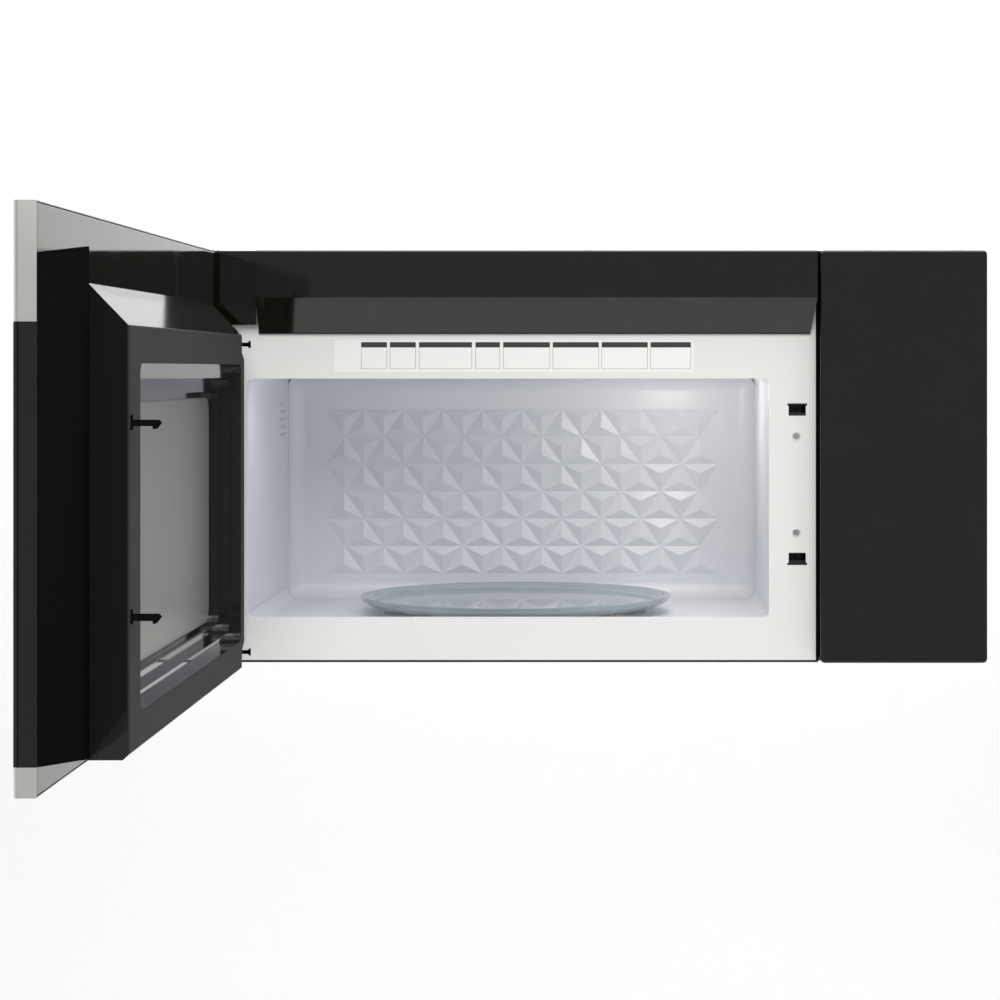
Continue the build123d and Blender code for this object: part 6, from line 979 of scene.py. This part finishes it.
def white_room():
    """A world that is white behind and over the oven and dim on the cook's side, which the gloss
    black mirrors."""
    room = bpy.data.worlds.new("studio_room")
    room.use_nodes = True
    tree = room.node_tree
    tree.nodes.clear()
    where = add(tree, "ShaderNodeTexCoord")
    axes = add(tree, "ShaderNodeSeparateXYZ", {"Vector": where.outputs["Generated"]})
    behind = add(tree, "ShaderNodeMapRange", {"Value": axes.outputs["Y"], "From Min": -0.35, "From Max": 0.2,
                                              "To Min": 0.36, "To Max": 1.0})
    over = add(tree, "ShaderNodeMapRange", {"Value": axes.outputs["Z"], "From Min": 0.25, "From Max": 0.8,
                                            "To Min": 0.0, "To Max": 0.9})
    light = add(tree, "ShaderNodeMath", {0: behind.outputs[0], 1: over.outputs[0]}, operation="MAXIMUM")
    back = add(tree, "ShaderNodeBackground", {"Color": (1, 1, 1, 1), "Strength": light.outputs[0]})
    add(tree, "ShaderNodeOutputWorld", {"Surface": back.outputs[0]})
    return room


def soft_light(name, place, aim, size, power):
    """A rectangular area light of a width and a height, turned to where it aims."""
    lamp = bpy.data.lights.new(name, "AREA")
    lamp.shape = "RECTANGLE"
    lamp.size, lamp.size_y = size
    lamp.energy = power
    holder = bpy.data.objects.new(name, lamp)
    holder.location = place
    holder.rotation_euler = (Vector(aim) - Vector(place)).to_track_quat("-Z", "Y").to_euler()
    bpy.context.scene.collection.objects.link(holder)


def oven_bulb(power):
    """The warm bulb that shines in through the perforations of the cavity's ceiling."""
    bulb = bpy.data.lights.new("oven_bulb", "POINT")
    bulb.energy = power
    bulb.shadow_soft_size = 0.02
    bulb.color = linear("#fff6ea")
    holder = bpy.data.objects.new("oven_bulb", bulb)
    holder.location = (0.086, -0.193, 0.069)
    bpy.context.scene.collection.objects.link(holder)


def photo_camera(focal_length):
    """Camera solved from the photograph: level, straight on, with the frame shifted."""
    lens = bpy.data.cameras.new("photo_camera")
    lens.sensor_width = 36
    lens.lens = focal_length
    lens.shift_x = -0.1275
    lens.shift_y = -0.1306
    lens.clip_start = 0.05
    camera = bpy.data.objects.new("photo_camera", lens)
    camera.location = (0.0388, -2.9169, 0.0824)
    camera.rotation_euler = (math.radians(90), 0, 0)
    bpy.context.scene.collection.objects.link(camera)
    return camera


class MICROWAVE_OT_studio(bpy.types.Operator):
    """Paper sweep, soft lights and the camera"""
    bl_idname = "microwave.studio"
    bl_label = "Studio"

    def execute(self, context):
        stage = context.scene.microwave_stage
        paper_floor(stage)
        context.scene.world = white_room()
        for light in (
            ("overhead_softbox", (0.1, -1.3, 2.4), (0.0, -0.35, 0.0), (2.4, 2.4), stage.overhead_power),
            ("front_softbox", (0.2, -3.9, 2.1), (0.0, -0.5, 0.0), (2.2, 2.2), stage.front_power),
            ("backdrop_softbox", (0.0, 1.3, 2.6), (0.0, 4.0, 0.2), (3.0, 3.0), stage.backdrop_power),
            ("oven_fill", (-0.075, -0.362, 0.045), (-0.075, 0.0, -0.07), (0.46, 0.05), stage.cavity_power),
        ):
            soft_light(*light)
        oven_bulb(stage.oven_power)
        context.scene.camera = photo_camera(stage.lens)
        context.scene.view_settings.view_transform = "Standard"
        return {"FINISHED"}


# ------------------------------------------------------------------ panel and run
STEPS = (
    MICROWAVE_OT_cabinet_finish,
    MICROWAVE_OT_cavity_finish,
    MICROWAVE_OT_front_finish,
    MICROWAVE_OT_machinery_finish,
    MICROWAVE_OT_blank_chart,
    MICROWAVE_OT_end_cover,
    MICROWAVE_OT_black_seams,
    MICROWAVE_OT_frame_screws,
    MICROWAVE_OT_cabinet_screws,
    MICROWAVE_OT_filter_mesh,
    MICROWAVE_OT_lens_ribs,
    MICROWAVE_OT_studio,
)

GROUPS = (
    ("microwave_colours", FinishColours),
    ("microwave_sizes", DetailSizes),
    ("microwave_stage", StageSettings),
)


class MICROWAVE_PT_panel(bpy.types.Panel):
    bl_idname = "MICROWAVE_PT_panel"
    bl_label = "Microwave"
    bl_space_type = "VIEW_3D"
    bl_region_type = "UI"
    bl_category = "Microwave"

    def draw(self, context):
        for name, kind in GROUPS:
            column = self.layout.column()
            for field in kind.__annotations__:
                column.prop(getattr(context.scene, name), field)
        for step in STEPS:
            self.layout.operator(step.bl_idname)


CLASSES = (*[group for _, group in GROUPS], *STEPS, MICROWAVE_PT_panel)


def register():
    for kind in CLASSES:
        bpy.utils.register_class(kind)
    for name, group in GROUPS:
        setattr(bpy.types.Scene, name, PointerProperty(type=group))


def unregister():
    for name, _ in GROUPS:
        delattr(bpy.types.Scene, name)
    for kind in reversed(CLASSES):
        bpy.utils.unregister_class(kind)


def main():
    register()
    bpy.ops.microwave.cabinet_finish()
    bpy.ops.microwave.cavity_finish()
    bpy.ops.microwave.front_finish()
    bpy.ops.microwave.machinery_finish()
    bpy.ops.microwave.blank_chart()
    bpy.ops.microwave.end_cover()
    bpy.ops.microwave.black_seams()
    bpy.ops.microwave.frame_screws()
    bpy.ops.microwave.cabinet_screws()
    bpy.ops.microwave.filter_mesh()
    bpy.ops.microwave.lens_ribs()
    bpy.ops.microwave.studio()


if __name__ == "__main__":
    main()
